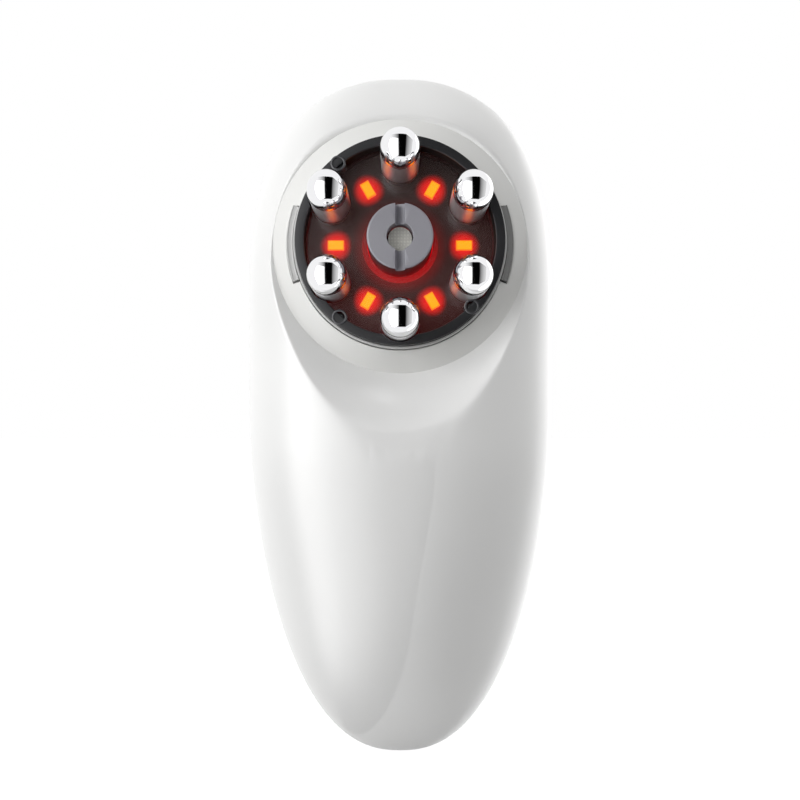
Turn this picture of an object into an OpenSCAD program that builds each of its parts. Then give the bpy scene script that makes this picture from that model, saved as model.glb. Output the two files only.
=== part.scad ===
// Hand-held vacuum body sculpting device. An egg-shaped shell has a round treatment head on its
// front and three push buttons on its back, with the pump, battery and boards between them.

/* [Body] */
// Length of the body from the tail tip to the head end
body_length = 140; // [138:0.5:146]
// Width of the body at its widest place
body_width = 62.5; // [61:0.5:68]
// Distance from the tail tip to the widest place
widest_at = 75; // [72:0.5:77]
// Height of the front shell's crown above the parting plane
front_crown = 22.8; // [22.4:0.1:24]
// Distance from the tail tip to the front shell's crown
crown_at = 64; // [61:0.5:67]
// Height of the back cover's crown above the parting plane
back_crown = 16; // [15.7:0.1:18]
// Wall thickness of both shells
shell_wall = 2; // [1.6:0.05:2.2]

/* [Seam] */
// Thickness of the plated trim band between the shells
trim_thickness = 1.4; // [1:0.1:1.6]
// Step from the front shell's edge in to the trim band's edge
trim_step = 0.35; // [0.2:0.05:0.5]
// Step from the trim band's edge in to the back cover's edge
cover_step = 0.45; // [0.3:0.05:0.6]
// Height of the tongues that register both shells on the trim band
tongue_height = 1; // [0.6:0.1:1.2]
// Thickness of those tongues
tongue_thickness = 1; // [0.8:0.05:1.2]

/* [Grip flutes] */
// Spacing of the flutes on the back cover
flute_pitch = 3; // [2.8:0.02:3.04]
// Depth of a flute
flute_depth = 0.22; // [0.1:0.01:0.4]
// Number of flutes across the cover
flute_count = 17; // [13:2:17]
// Distance from the tail tip to where the middle flutes begin
flute_start = 64; // [58:0.5:66]
// Distance along each flute from the tail's edge to where it ends
flute_end = 4; // [2:0.5:8]

/* [Collar and scoop] */
// Distance from the head end to the centre of the treatment head
head_inset = 36.6; // [35.6:0.1:37.2]
// Outer radius of the sloping collar round the head
collar_radius = 24.5; // [24.3:0.1:25]
// Height of the collar's outer edge above the parting plane
collar_height = 16.8; // [16.6:0.05:17.1]
// Rise of the collar for each millimetre inwards
collar_slope = 0.6; // [0.55:0.01:0.65]
// Distance over which the scoop climbs from the collar to the crown
scoop_reach = 15.1; // [14:0.1:17]

/* [Treatment head] */
// Outer radius of the black bezel
bezel_radius = 19.6; // [19.5:0.05:19.8]
// Width of the bezel's face
bezel_width = 1.75; // [1.6:0.05:1.9]
// Height of the bezel's face above the parting plane
bezel_height = 23; // [22.9:0.05:23.3]
// Depth from the bezel's face to the smoked window
window_recess = 3.2; // [3:0.05:3.3]
// Thickness of the smoked window
window_thickness = 1.5; // [1.3:0.05:1.6]
// Gap between the window and the lamp board
window_gap = 1.2; // [1.1:0.05:1.3]
// Thickness of the printed circuit boards
board_thickness = 1.2; // [1:0.05:1.4]
// Height of the lip ring round the bezel
lip_height = 4; // [3:0.1:4.5]

/* [Electrodes] */
// Diameter of a plated electrode
electrode_diameter = 7.2; // [6.8:0.1:7.3]
// Radius of the circle that the electrodes stand on
electrode_circle = 15.1; // [15:0.05:15.15]
// Height of an electrode's round end above the bezel's face
electrode_reach = 10.1; // [8:0.1:12]
// Diameter of the threaded stud behind an electrode
stud_diameter = 2.4; // [2:0.1:2.6]

/* [Suction hub] */
// Diameter of the suction hub
hub_diameter = 12.2; // [11.6:0.1:12.8]
// Height of the hub's face above the window
hub_rise = 6.8; // [5.8:0.1:7.4]
// Diameter of the suction hole
suction_diameter = 4.9; // [4.6:0.1:5.2]
// Depth from the hub's face to the filter
filter_depth = 2.8; // [2.6:0.1:3.6]
// Width of the slot across the hub's face
hub_slot_width = 1.75; // [1.4:0.05:2.2]
// Depth of that slot
hub_slot_depth = 1.2; // [0.8:0.1:1.6]

/* [Lamps] */
// Radius of the circle that the red lamps stand on
lamp_circle = 12.3; // [12:0.1:12.5]
// Length of a red lamp, along the radius
lamp_length = 3.1; // [2.6:0.1:3.4]
// Width of a red lamp
lamp_width = 1.8; // [1.4:0.1:2]
// Height of a red lamp
lamp_height = 0.8; // [0.6:0.1:1]

/* [Buttons] */
// Distance from the head end to the centre of the light ring
ring_inset = 39; // [38:0.2:40]
// Outer radius of the light ring
ring_outer = 9.45; // [9.3:0.05:9.6]
// Inner radius of the light ring
ring_inner = 7.85; // [7.7:0.05:8]
// Radius of a button's hollow side, about the light ring's centre
button_hollow = 11.15; // [11:0.05:11.3]
// Angle between a button's two lobes, about the same centre
button_spread = 34.6; // [34:0.2:36]
// Radius of a button's lobes
button_lobe = 1.95; // [1.8:0.05:2.1]
// Radius of a button's outer corner
button_corner = 5.2; // [5:0.05:5.4]
// Distance from the light ring's centre to the centre of that corner
button_corner_at = 12.9; // [12.7:0.1:13.1]
// Gap round a button
button_gap = 0.25; // [0.2:0.01:0.3]
// Height that a button stands above the cover
button_proud = 0.3; // [0.1:0.05:0.5]
// Travel of a button
button_travel = 0.5; // [0.3:0.05:0.6]

/* [Indicators] */
// Distance from the light ring's centre down to the upper indicator
indicator_drop = 24.3; // [23.6:0.1:25]
// Distance between the two indicators
indicator_pitch = 5.1; // [4.8:0.1:5.4]
// Diameter of an indicator's tip
indicator_diameter = 1; // [0.8:0.05:1.4]

/* [Chassis] */
// Distance from the parting plane back to the chassis plate
chassis_set_back = 3.2; // [3.1:0.05:3.3]
// Thickness of the chassis plate
chassis_thickness = 1.5; // [1.3:0.05:1.6]
// Distance from the chassis plate back to the control board
board_set_back = 2.5; // [2.3:0.05:2.6]
// Diameter of the chassis screws
chassis_screw_diameter = 2; // [1.6:0.1:2.2]
// Diameter of the board screws
board_screw_diameter = 1.6; // [1.4:0.1:1.8]

/* [Battery, pump and valve] */
// Diameter of the battery cell
cell_diameter = 16.4; // [15.8:0.1:17]
// Length of the battery cell
cell_length = 34; // [33:0.5:35]
// Diameter of the pump motor
motor_diameter = 17; // [16:0.1:17.4]
// Length of the pump motor
motor_length = 24; // [21:0.5:25]
// Distance from the centre line to the axes of the cell and the motor
twin_offset = 12.2; // [12:0.05:12.5]
// Throw of the pump's eccentric
eccentric_throw = 1.2; // [0.8:0.1:1.4]
// Outer diameter of the air spigots
spigot_diameter = 3.8; // [3.4:0.1:4]
// Wall thickness of the air tube
tube_wall = 0.8; // [0.6:0.05:0.9]
// Travel of the vent valve's plunger
valve_travel = 1; // [0.6:0.1:1.2]

/* [Hidden] */
BODY = ["front_shell", "back_cover", "trim_band"];
HEAD = ["head_bezel", "bezel_screws", "head_lip_ring", "head_window", "suction_hub", "hub_filter",
        "hub_gasket", "left_clip", "right_clip", "lamp_board", "electrode_nuts", "head_tray",
        "tray_screws"];
NUMBERED = [for (i = [1 : 6], kind = ["electrode_", "red_lamp_"]) str(kind, i)];
CONTROLS = ["power_button", "level_button", "pulse_button", "button_switches", "light_ring",
            "centre_cap", "indicator_1", "indicator_2", "control_board", "board_lamps",
            "board_chips", "board_screws"];
INSIDE = ["chassis", "chassis_screws", "battery_cell", "battery_cradle", "pump_motor",
          "pump_bracket", "pump_head", "pump_rotor", "air_tube", "valve_body", "valve_plunger",
          "valve_spring", "charge_board", "charge_socket"];
$fn = 64;

// Gap between pieces that drop into one another
fit = 0.15;
// Gap between a screw and its pilot hole
bite = 0.03;
// Length by which a cut runs past what it cuts
past = 1;

// Fullness of the outline: across and along, above the widest place and then below it
top_across = 2.9;
top_along = 2.7;
tail_across = 2.3;
tail_along = 2;
// Fullness of the front shell: across, towards the head and towards the tail
front_across = [2.15, 2.6, 3];
front_up = 3;
front_down = 1.5;
// Fullness of the back cover in the same order
back_across = 2.6;
back_up = 2.6;
back_down = 2.2;
// Share of a wall's thickness that its inside drops by under the sloping collar
collar_drop = 1.1;

half_width = body_width / 2;
head_at = body_length - head_inset;
ring_at = body_length - ring_inset;
top_length = body_length - widest_at;
cover_inset = trim_step + cover_step;
cover_rise = back_crown - trim_thickness;
bore_radius = bezel_radius + 0.65;
window_top = bezel_height - window_recess;
window_bottom = window_top - window_thickness;
lamp_board_top = window_bottom - window_gap;
lamp_board_bottom = lamp_board_top - board_thickness;
electrode_radius = electrode_diameter / 2;
hub_radius = hub_diameter / 2;
hub_top = window_top + hub_rise;
parting_y = (bezel_height + electrode_reach - back_crown - button_proud) / 2;
chassis_back = chassis_set_back + chassis_thickness;
board_front = chassis_back + board_set_back;
board_back = board_front + board_thickness;
flange_low = board_back + 2.1;
flange_high = flange_low + 0.7;

// Places what is drawn with its height measured forwards from the parting plane
module front() {
    translate([0, parting_y, 0])
    rotate([90, 0, 0])
    children();
}
// Places what is drawn with its height measured backwards, as it looks from behind
module back() {
    translate([0, parting_y, 0])
    rotate([90, 0, 180])
    children();
}
module at_head() {
    front() translate([0, head_at, 0]) children();
}
module at_ring() {
    back() translate([0, ring_at, 0]) children();
}
// Places an upright piece at a height in front of the parting plane
module upright(x, height, from) {
    front() translate([x, from, height]) rotate([-90, 0, 0]) children();
}

module disc(radius, low, high) {
    translate([0, 0, low]) cylinder(r = radius, h = high - low);
}
module ring(outer, inner, low, high) {
    difference() {
        disc(outer, low, high);
        disc(inner, low - past, high + past);
    }
}
module block(x, along, low, high) {
    translate([x[0], along[0], low]) cube([x[1] - x[0], along[1] - along[0], high - low]);
}
module rounded_block(x, along, low, high, radius) {
    block([x[0] + radius, x[1] - radius], along, low, high);
    block(x, [along[0] + radius, along[1] - radius], low, high);
    for (i = [0, 1], j = [0, 1])
        translate([x[i] + (1 - 2 * i) * radius, along[j] + (1 - 2 * j) * radius, 0])
        disc(radius, low, high);
}
module at_places(places) {
    for (p = places) translate([p[0], p[1], 0]) children();
}
function polar(radius, angle) = [radius * cos(angle), radius * sin(angle)];
function turned_back(list) = [for (i = [len(list) - 1 : -1 : 0]) list[i]];

// The outline as seen from the front, pulled in by an inset
function from_widest(along, inset) =
    along >= widest_at ? (along - widest_at) / (top_length - inset)
                       : (widest_at - along) / (widest_at - inset);
function half_at(along, inset) =
    let (t = min(from_widest(along, inset), 1),
         up = along >= widest_at)
    (half_width - inset) * pow(1 - pow(t, up ? top_along : tail_along),
                               1 / (up ? top_across : tail_across));
function outline_point(turn, inset) =
    let (up = cos(turn) > 0,
         across = pow(abs(sin(turn)), 2 / (up ? top_across : tail_across)),
         along = pow(abs(cos(turn)), 2 / (up ? top_along : tail_along)))
    [sign(sin(turn)) * (half_width - inset) * across,
     widest_at + (up ? (top_length - inset) * along : -(widest_at - inset) * along)];
function outline(inset, steps = 64) =
    [for (i = [0 : steps - 1]) outline_point(360 * i / steps, inset)];

// Height of a dome that stands on the outline
function rounded(t, power) = pow(max(1 - pow(min(t, 1), power), 0), 1 / power);
function dome(x, along, inset, crown, peak, up, down, across) =
    let (side = half_at(along, inset),
         t = along >= peak ? (along - peak) / (body_length - inset - peak)
                           : (peak - along) / (peak - inset))
    side <= 0 ? 0 : crown * rounded(t, along >= peak ? up : down) * rounded(abs(x) / side, across);

// Height of the front shell: the egg, cut by the collar and by the scoop below it
function front_across_at(along) =
    front_across[0]
    + (front_across[1] - front_across[0]) * fade(0.4 * widest_at, 0.9 * widest_at, along)
    + (front_across[2] - front_across[1]) * fade(head_at - 21, head_at, along);
function egg(x, along, inset) =
    dome(x, along, inset, front_crown - inset, crown_at, front_up, front_down,
         front_across_at(along));
function collar_cut(x, along, inset) =
    let (out = norm([x, along - head_at]) - collar_radius,
         climb = max(1 - out / scoop_reach, 0))
    collar_height - collar_drop * inset
    + (out < 0 ? -collar_slope * out : (front_crown - collar_height) * (1 - climb * climb))
    + max(out - scoop_reach, 0);
function front_height(x, along, inset = 0) = min(egg(x, along, inset), collar_cut(x, along, inset));

// Height of the back cover, with the flutes pressed into its lower half
function fade(from, to, v) =
    let (t = max(min((v - from) / (to - from), 1), 0))
    t * t * (3 - 2 * t);
function flute(x, along) =
    let (start = flute_start - 12 * pow(2 * x / (flute_count * flute_pitch), 2),
         place = x / flute_pitch + 0.5,
         part = 2 * (place - floor(place)) - 1,
         side = flute_count * flute_pitch / 2,
         end = ends_at(x, 0)[1] + flute_end)
    flute_depth * (1 - part * part) * fade(start, start - 14, along)
    * fade(end, end + 10, along) * fade(side, side - 6, abs(x));
function back_height(x, along, inset = 0) =
    trim_thickness + dome(x, along, inset + cover_inset, cover_rise - inset, widest_at,
                          back_up, back_down, back_across)
    - (inset == 0 ? flute(x, along) : 0);

// Lowest outer height over a boss's foot, less what keeps the boss inside the wall
function round_about(p, radius) = [for (a = [0 : 45 : 315]) p + polar(radius, a)];
function under_front(p, radius) =
    min([for (q = round_about(p, radius)) front_height(q[0], q[1])]) - 0.4 * shell_wall;
function under_back(p, radius) =
    min([for (q = round_about(p, radius)) back_height(q[0], q[1])]) - 0.4 * shell_wall;

// A closed surface from rows of points that wrap round both ways
module wrapped(rows) {
    r = len(rows);
    n = len(rows[0]);
    faces = [for (i = [0 : r - 1], j = [0 : n - 1], half = [0, 1])
                let (a = i * n + j,
                     b = i * n + (j + 1) % n,
                     c = ((i + 1) % r) * n + (j + 1) % n,
                     d = ((i + 1) % r) * n + j)
                half == 0 ? [a, b, c] : [a, c, d]];
    polyhedron([for (row = rows) each row], faces);
}
// A closed surface from stacked loops, with a point at the middle of each end
module stacked(loops, bottom, top) {
    r = len(loops);
    n = len(loops[0]);
    sides = [for (i = [0 : r - 2], j = [0 : n - 1], half = [0, 1])
                let (a = i * n + j,
                     b = i * n + (j + 1) % n,
                     c = (i + 1) * n + (j + 1) % n,
                     d = (i + 1) * n + j)
                half == 0 ? [a, c, b] : [a, d, c]];
    ends = [for (j = [0 : n - 1], half = [0, 1])
               let (k = (j + 1) % n)
               half == 0 ? [r * n, j, k] : [r * n + 1, (r - 1) * n + k, (r - 1) * n + j]];
    polyhedron([for (loop = loops) each loop, bottom, top], concat(sides, ends));
}

// Front shell: rays run from the collar out to the outline, with rows set by the scoop's edge
ray_count = 80;
function ray_angle(turn) =
    let (p = outline_point(turn, 0),
         straight = atan2(p[0], p[1] - head_at))
    0.65 * (straight < 0 ? straight + 360 : straight) + 0.35 * turn;
function ray_point(turn, part, inset) =
    let (a = ray_angle(turn),
         start = [collar_radius * sin(a), head_at + collar_radius * cos(a)])
    start + part * (outline_point(turn, inset) - start);
function in_scoop(p, inset) = egg(p[0], p[1], inset) > collar_cut(p[0], p[1], inset);
function scoop_end(turn, inset, low = 0.02, high = 0.98, tries = 12) =
    let (middle = (low + high) / 2)
    tries == 0 ? max(low, 0.12)
    : in_scoop(ray_point(turn, middle, inset), inset)
      ? scoop_end(turn, inset, middle, high, tries - 1)
      : scoop_end(turn, inset, low, middle, tries - 1);
function ray_parts(turn, inset, scoop_steps, egg_steps) =
    let (end = scoop_end(turn, inset))
    concat([for (i = [0 : scoop_steps - 1]) end * i / scoop_steps],
           [for (i = [0 : egg_steps]) end + (1 - end) * (1 - pow(1 - i / egg_steps, 2.2))]);
function ray(turn, inset, scoop_steps, egg_steps) =
    let (a = ray_angle(turn),
         start = [0, head_at] + (bore_radius - past) * [sin(a), cos(a)],
         parts = ray_parts(turn, inset, scoop_steps, egg_steps))
    [for (p = concat([start], [for (s = parts) ray_point(turn, s, inset)]))
        [p[0], p[1], front_height(p[0], p[1], inset)]];
module front_wall() {
    wrapped([for (i = [0 : ray_count - 1])
                let (turn = 360 * i / ray_count)
                concat(ray(turn, 0, 3, 7), turned_back(ray(turn, shell_wall, 2, 3)))]);
}

tray_ear_circle = 23.2;
tray_ear_top = 13.5;
tray_ear_thickness = 1.4;
tray_screw_radius = 0.9;
tray_boss_radius = 2.2;
tray_ears = [for (a = [45 : 90 : 315]) polar(tray_ear_circle, a)];
clip_inner = bore_radius + 0.05;
clip_outer = bore_radius + 1.25;
clip_low = 17.5;
clip_high = 19.9;
clip_spread = 40;
module sector(angle, inner, outer, low, high, spread) {
    rotate([0, 0, angle - spread / 2])
    rotate_extrude(angle = spread)
    translate([inner, low])
    square([outer - inner, high - low]);
}
module front_shell() {
    color("#e9e8e6")
    difference() {
        union() {
            front() front_wall();
            at_head() for (p = tray_ears)
                translate([p[0], p[1], 0])
                disc(tray_boss_radius, tray_ear_top,
                     under_front(p + [0, head_at], tray_boss_radius));
        }
        at_head() disc(bore_radius, 0, bezel_height);
        at_head() for (a = [0, 180])
            sector(a, bore_radius - past, clip_outer + fit, clip_low - 0.05, bezel_height,
                   clip_spread + 1.2);
        at_head() at_places(tray_ears)
            disc(tray_screw_radius + bite, tray_ear_top - past, tray_ear_top + 1.8);
    }
}

// Back cover: columns lie along the flutes, then close up towards the sides
cover_side = half_width - cover_inset;
flute_columns = [for (i = [-1.5 * (flute_count + 1) : 1.5 * (flute_count + 1) - 1])
                    (i + 0.5) * flute_pitch / 3];
side_steps = 6;
side_columns =
    let (start = asin(pow(flute_columns[len(flute_columns) - 1] / cover_side, back_across / 2)))
    [for (i = [1 : side_steps])
        let (turn = start + (90 - start) * (1 - pow(1 - i / side_steps, 1.3)))
        cover_side * pow(sin(turn), 2 / back_across)];
cover_columns = concat([for (i = [side_steps - 1 : -1 : 0]) -side_columns[i]],
                       flute_columns, side_columns);
function ends_at(x, inset) =
    let (u = min(abs(x) / (half_width - inset), 1))
    [widest_at + (top_length - inset) * pow(1 - pow(u, top_across), 1 / top_along),
     widest_at - (widest_at - inset) * pow(1 - pow(u, tail_across), 1 / tail_along)];
function cover_column(x, inset, top_steps, tail_steps) =
    let (ends = ends_at(x, inset + cover_inset))
    [for (i = [-top_steps : tail_steps])
        let (turn = 90 * (i < 0 ? -i / top_steps : i / tail_steps),
             share = pow(sin(turn), 2 / (i < 0 ? back_up : back_down)),
             along = widest_at + share * (ends[i < 0 ? 0 : 1] - widest_at))
        [x, along, back_height(x, along, inset)]];
// The first and last columns have shrunk to one outer and one inner point
function cover_index(column, row, n, outer_rows, last) =
    column == 0 ? (row < outer_rows ? 0 : 1)
    : column == last ? 2 + (last - 1) * n + (row < outer_rows ? 0 : 1)
    : 2 + (column - 1) * n + row;
module cover_wall() {
    inner_share = (cover_side - shell_wall) / cover_side;
    outer_steps = [6, 10];
    columns = [for (x = cover_columns)
                  concat(cover_column(x, 0, outer_steps[0], outer_steps[1]),
                         turned_back(cover_column(x * inner_share, shell_wall, 3, 4)))];
    outer_rows = outer_steps[0] + outer_steps[1] + 1;
    n = len(columns[0]);
    last = len(columns) - 1;
    points = [columns[0][0], columns[0][n - 1],
              for (i = [1 : last - 1]) each columns[i],
              columns[last][0], columns[last][n - 1]];
    faces = [for (i = [0 : last - 1], j = [0 : n - 1], half = [0, 1])
                let (k = (j + 1) % n,
                     a = cover_index(i, j, n, outer_rows, last),
                     b = cover_index(i, k, n, outer_rows, last),
                     c = cover_index(i + 1, k, n, outer_rows, last),
                     d = cover_index(i + 1, j, n, outer_rows, last),
                     face = half == 0 ? [a, c, b] : [a, d, c])
                if (face[0] != face[1] && face[1] != face[2] && face[2] != face[0]) face];
    polyhedron(points, faces);
}

// A button's outline, grown by a margin: two lobes, an outer corner and a side hollowed to the ring
function arc(middle, radius, from, to, steps) =
    [for (i = [0 : steps]) middle + polar(radius, from + (to - from) * i / steps)];
function button_outline(grow = 0) =
    let (half = button_spread / 2,
         lobe = polar(button_hollow + button_lobe, half),
         corner = [button_corner_at, 0],
         d = corner - lobe,
         lean = atan2(d[1], d[0]) + acos((button_lobe - button_corner) / norm(d)),
         side = concat(arc(lobe, button_lobe + grow, lean, 180 + half, 8),
                       arc([0, 0], button_hollow - grow, half * 0.67, half * 0.33, 1)))
    concat(arc(corner, button_corner + grow, -lean * 0.86, lean * 0.86, 6), side,
           [for (p = turned_back(side)) [p[0], -p[1]]]);
button_angles = [270, 150, 30];
switch_at = 13.9;
switch_height = 1.3;
switch_half = 2.25;
plunger_radius = 1.2;
ring_flange_radius = ring_outer + 0.95;

// Caps that follow the cover: loops are drawn about the light ring's centre
function level_loop(loop, angle, height) =
    [for (p = loop) [p[0] * cos(angle) - p[1] * sin(angle),
                     p[0] * sin(angle) + p[1] * cos(angle), height]];
function over_cover(loop, angle, height) =
    [for (p = level_loop(loop, angle, height))
        [p[0], p[1], back_height(p[0], ring_at + p[1]) + p[2]]];
function shrunk(loop, middle, share) = [for (p = loop) middle + share * (p - middle)];
module cap_on_cover(loop, middle, angle, low, proud, edge) {
    stacked([level_loop(loop, angle, low),
             over_cover(loop, angle, proud - edge),
             for (share = [1 - edge / 6, 0.7, 0.35])
                 over_cover(shrunk(loop, middle, share), angle, proud)],
            level_loop([middle], angle, low)[0],
            over_cover([middle], angle, proud)[0]);
}
module button(number) {
    color("#eeedeb") at_ring() {
        cap_on_cover(button_outline(), [switch_at, 0], button_angles[number],
                     flange_high - fit, button_proud, 0.3);
        rotate([0, 0, button_angles[number]])
        difference() {
            translate([0, 0, flange_low])
            linear_extrude(flange_high - flange_low)
            polygon(button_outline(0.5));
            disc(ring_flange_radius + 0.25, flange_low - past, flange_high + past);
        }
        rotate([0, 0, button_angles[number]])
        translate([switch_at, 0, 0])
        disc(plunger_radius, board_back + 0.4 + button_travel, flange_low + 0.1);
    }
}

// Light ring: a clear wall on a web that carries the centre cap and stands on three legs
ring_steps = 48;
web_high = flange_high + 0.1;
function ring_point(radius, angle, drop) =
    let (p = polar(radius, angle))
    [p[0], p[1], back_height(p[0], ring_at + p[1]) - drop];
module ring_wall() {
    bevel = 0.25;
    wrapped([for (i = [0 : ring_steps - 1])
                let (a = 360 * i / ring_steps,
                     inner = polar(ring_inner, a),
                     outer = polar(ring_outer, a))
                [[inner[0], inner[1], flange_low + 0.2],
                 [outer[0], outer[1], flange_low + 0.2],
                 ring_point(ring_outer, a, bevel),
                 ring_point(ring_outer - bevel, a, 0),
                 ring_point(ring_inner + bevel, a, 0),
                 ring_point(ring_inner, a, bevel)]]);
}
module light_ring() {
    color("#ff9d1c") at_ring() {
        ring_wall();
        disc(ring_outer - 0.3, flange_low, web_high);
        disc(ring_flange_radius, flange_low, flange_high);
        for (a = [90 : 120 : 330])
            rotate([0, 0, a]) translate([6, 0, 0]) disc(0.8, board_back, flange_low + 0.1);
    }
}
module centre_cap() {
    loop = [for (i = [0 : ring_steps - 1]) polar(ring_inner - fit, 360 * i / ring_steps)];
    color("#f2f1ef") at_ring() cap_on_cover(loop, [0, 0], 0, web_high, 0, 0.15);
}

ring_lamp_height = 0.7;
indicator_places = [for (i = [0, 1]) [0, ring_at - indicator_drop - i * indicator_pitch]];
indicator_flange = 10;
module indicator(number) {
    p = indicator_places[number];
    back() translate([p[0], p[1], 0]) {
        disc(indicator_diameter / 2, board_back + ring_lamp_height, back_height(0, p[1]));
        disc(indicator_diameter / 2 + 0.8, indicator_flange, indicator_flange + 1);
    }
}

cell_from = head_at - bezel_radius - 8.8 - cell_length;
tail_screws_at = cell_from - 9;
chassis_from = 13.5;
chassis_to = body_length - 13;
chassis_screw_places = [for (p = [[13, chassis_to - 5], [15, tail_screws_at]], x = [-1, 1])
                           [x * p[0], p[1]]];
chassis_boss_radius = 2.5;
socket_width = 9;
socket_thickness = 3.3;
socket_low = 2.85;
socket_high = socket_low + socket_thickness;
socket_from = 4.5;
socket_length = 7.9;
module socket_shape(margin, from, length) {
    radius = socket_thickness / 2 + margin;
    half = (socket_width - socket_thickness) / 2;
    back() translate([0, from + length, socket_low + socket_thickness / 2])
    rotate([90, 0, 0])
    linear_extrude(length) {
        for (x = [-half, half]) translate([x, 0]) circle(radius, $fn = 32);
        square([2 * half, 2 * radius], center = true);
    }
}
module back_cover() {
    color("#efeeec")
    difference() {
        union() {
            back() cover_wall();
            back() for (p = chassis_screw_places)
                translate([p[0], p[1], 0])
                disc(chassis_boss_radius, chassis_back, under_back(p, chassis_boss_radius));
        }
        at_ring() disc(ring_outer + fit, flange_low, back_crown + past);
        at_ring() for (a = button_angles)
            rotate([0, 0, a])
            translate([0, 0, flange_low])
            linear_extrude(back_crown - flange_low + past)
            polygon(button_outline(button_gap));
        back() at_places(indicator_places)
            disc(indicator_diameter / 2 + 0.1, indicator_flange, back_crown + past);
        back() at_places(chassis_screw_places)
            disc(chassis_screw_diameter / 2 + bite, chassis_set_back, chassis_set_back + 5.5);
        socket_shape(fit, -past, past + socket_from + socket_length - 0.3);
    }
}

// Trim band: a ring between the shells with a tapered tongue into each
module trim_band() {
    tongue_gap = 0.5;
    front_root = shell_wall + tongue_gap;
    back_root = cover_inset + front_root;
    lead = 0.5;
    inner = back_root + tongue_thickness;
    section = [[trim_step, 0], [front_root, 0], [front_root + lead, tongue_height],
               [front_root + tongue_thickness, tongue_height],
               [front_root + tongue_thickness, 0], [inner, 0],
               [inner, -trim_thickness - tongue_height],
               [back_root + lead, -trim_thickness - tongue_height], [back_root, -trim_thickness],
               [trim_step, -trim_thickness]];
    loops = [for (s = section) [for (p = outline(s[0])) [p[0], p[1], s[1]]]];
    color("#c8c9cc") front() wrapped(loops);
}

// Treatment head, from the bezel down to the tray behind it
electrode_places = [for (i = [0 : 5]) polar(electrode_circle, 90 - 60 * i)];
electrode_centre = bezel_height + electrode_reach - electrode_radius;
lamp_angles = [60, 0, -60, -120, 180, 120];
bezel_boss_radius = 1.35;
bezel_screw_radius = 0.6;
bezel_screw_head = 0.9;
bezel_screw_places = [for (a = [129, 232, 317]) polar(bezel_radius - bezel_boss_radius, a)];
bezel_boss_top = bezel_height - 0.4;
screw_head_low = bezel_boss_top - 0.7;
window_radius = bezel_radius - 1.2;
board_radius = bezel_radius - 0.8;
tray_floor = lamp_board_bottom - 2.9;
tray_bottom = tray_floor - 1.4;
tray_flange_top = window_bottom - 1.3;
neck_radius = 3.5;
nut_radius = 2.3;
nut_height = 1.4;
module head_bezel() {
    color("#2c2c2e") at_head()
    difference() {
        union() {
            ring(bezel_radius, bezel_radius - bezel_width, window_top, bezel_height);
            ring(bezel_radius, window_radius + fit, window_bottom, window_top + 0.1);
            at_places(bezel_screw_places) disc(bezel_boss_radius, window_top, bezel_boss_top);
        }
        at_places(electrode_places)
            disc(electrode_radius + 0.25, window_bottom - past, bezel_height + past);
        at_places(bezel_screw_places) {
            disc(bezel_screw_radius + fit, window_bottom - past, bezel_height + past);
            disc(bezel_screw_head + fit, screw_head_low, bezel_height + past);
        }
    }
}
module bezel_screws() {
    color("#1d1d1f") at_head() at_places(bezel_screw_places)
    difference() {
        union() {
            disc(bezel_screw_radius, tray_floor + 0.8, screw_head_low + 0.1);
            disc(bezel_screw_head, screw_head_low, bezel_boss_top);
        }
        for (a = [0, 90])
            rotate([0, 0, a])
            block([-0.6, 0.6], [-0.12, 0.12], bezel_boss_top - 0.35, bezel_height);
    }
}
module head_lip_ring() {
    color("#d9d9d8") at_head()
    ring(bore_radius - fit, bezel_radius + 0.05, tray_flange_top, tray_flange_top + lip_height);
}
module head_window() {
    color("#3a2a2a", 0.6) at_head()
    difference() {
        union() {
            disc(window_radius, window_bottom, window_top);
            ring(window_radius, window_radius - 0.8, lamp_board_top, window_bottom + 0.1);
        }
        at_places(electrode_places) disc(electrode_radius + fit, 0, bezel_height);
        disc(hub_radius + fit, window_bottom - past, window_top + past);
        at_places(bezel_screw_places) disc(bezel_screw_radius + fit, 0, bezel_height);
    }
}
module electrode(number) {
    p = electrode_places[number - 1];
    color("#d7d8da") at_head() translate([p[0], p[1], 0]) {
        disc(electrode_radius, lamp_board_top, electrode_centre);
        translate([0, 0, electrode_centre]) sphere(electrode_radius);
        disc(stud_diameter / 2, tray_floor + 1, lamp_board_top + 0.1);
    }
}
module electrode_nuts() {
    color("#b08d4a") at_head() at_places(electrode_places)
    difference() {
        translate([0, 0, lamp_board_bottom - nut_height])
        cylinder(r = nut_radius, h = nut_height, $fn = 6);
        disc(stud_diameter / 2 + bite, 0, lamp_board_top);
    }
}
module red_lamp(number) {
    color("#ff5a14") at_head() rotate([0, 0, lamp_angles[number - 1]])
    block([lamp_circle - lamp_length / 2, lamp_circle + lamp_length / 2],
          [-lamp_width / 2, lamp_width / 2], lamp_board_top, lamp_board_top + lamp_height);
}
module lamp_board() {
    color("#26301f") at_head()
    difference() {
        disc(board_radius, lamp_board_bottom, lamp_board_top);
        disc(neck_radius + fit, 0, bezel_height);
        at_places(electrode_places) disc(stud_diameter / 2 + fit, 0, bezel_height);
        at_places(bezel_screw_places) disc(bezel_screw_radius + fit, 0, bezel_height);
    }
}

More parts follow.
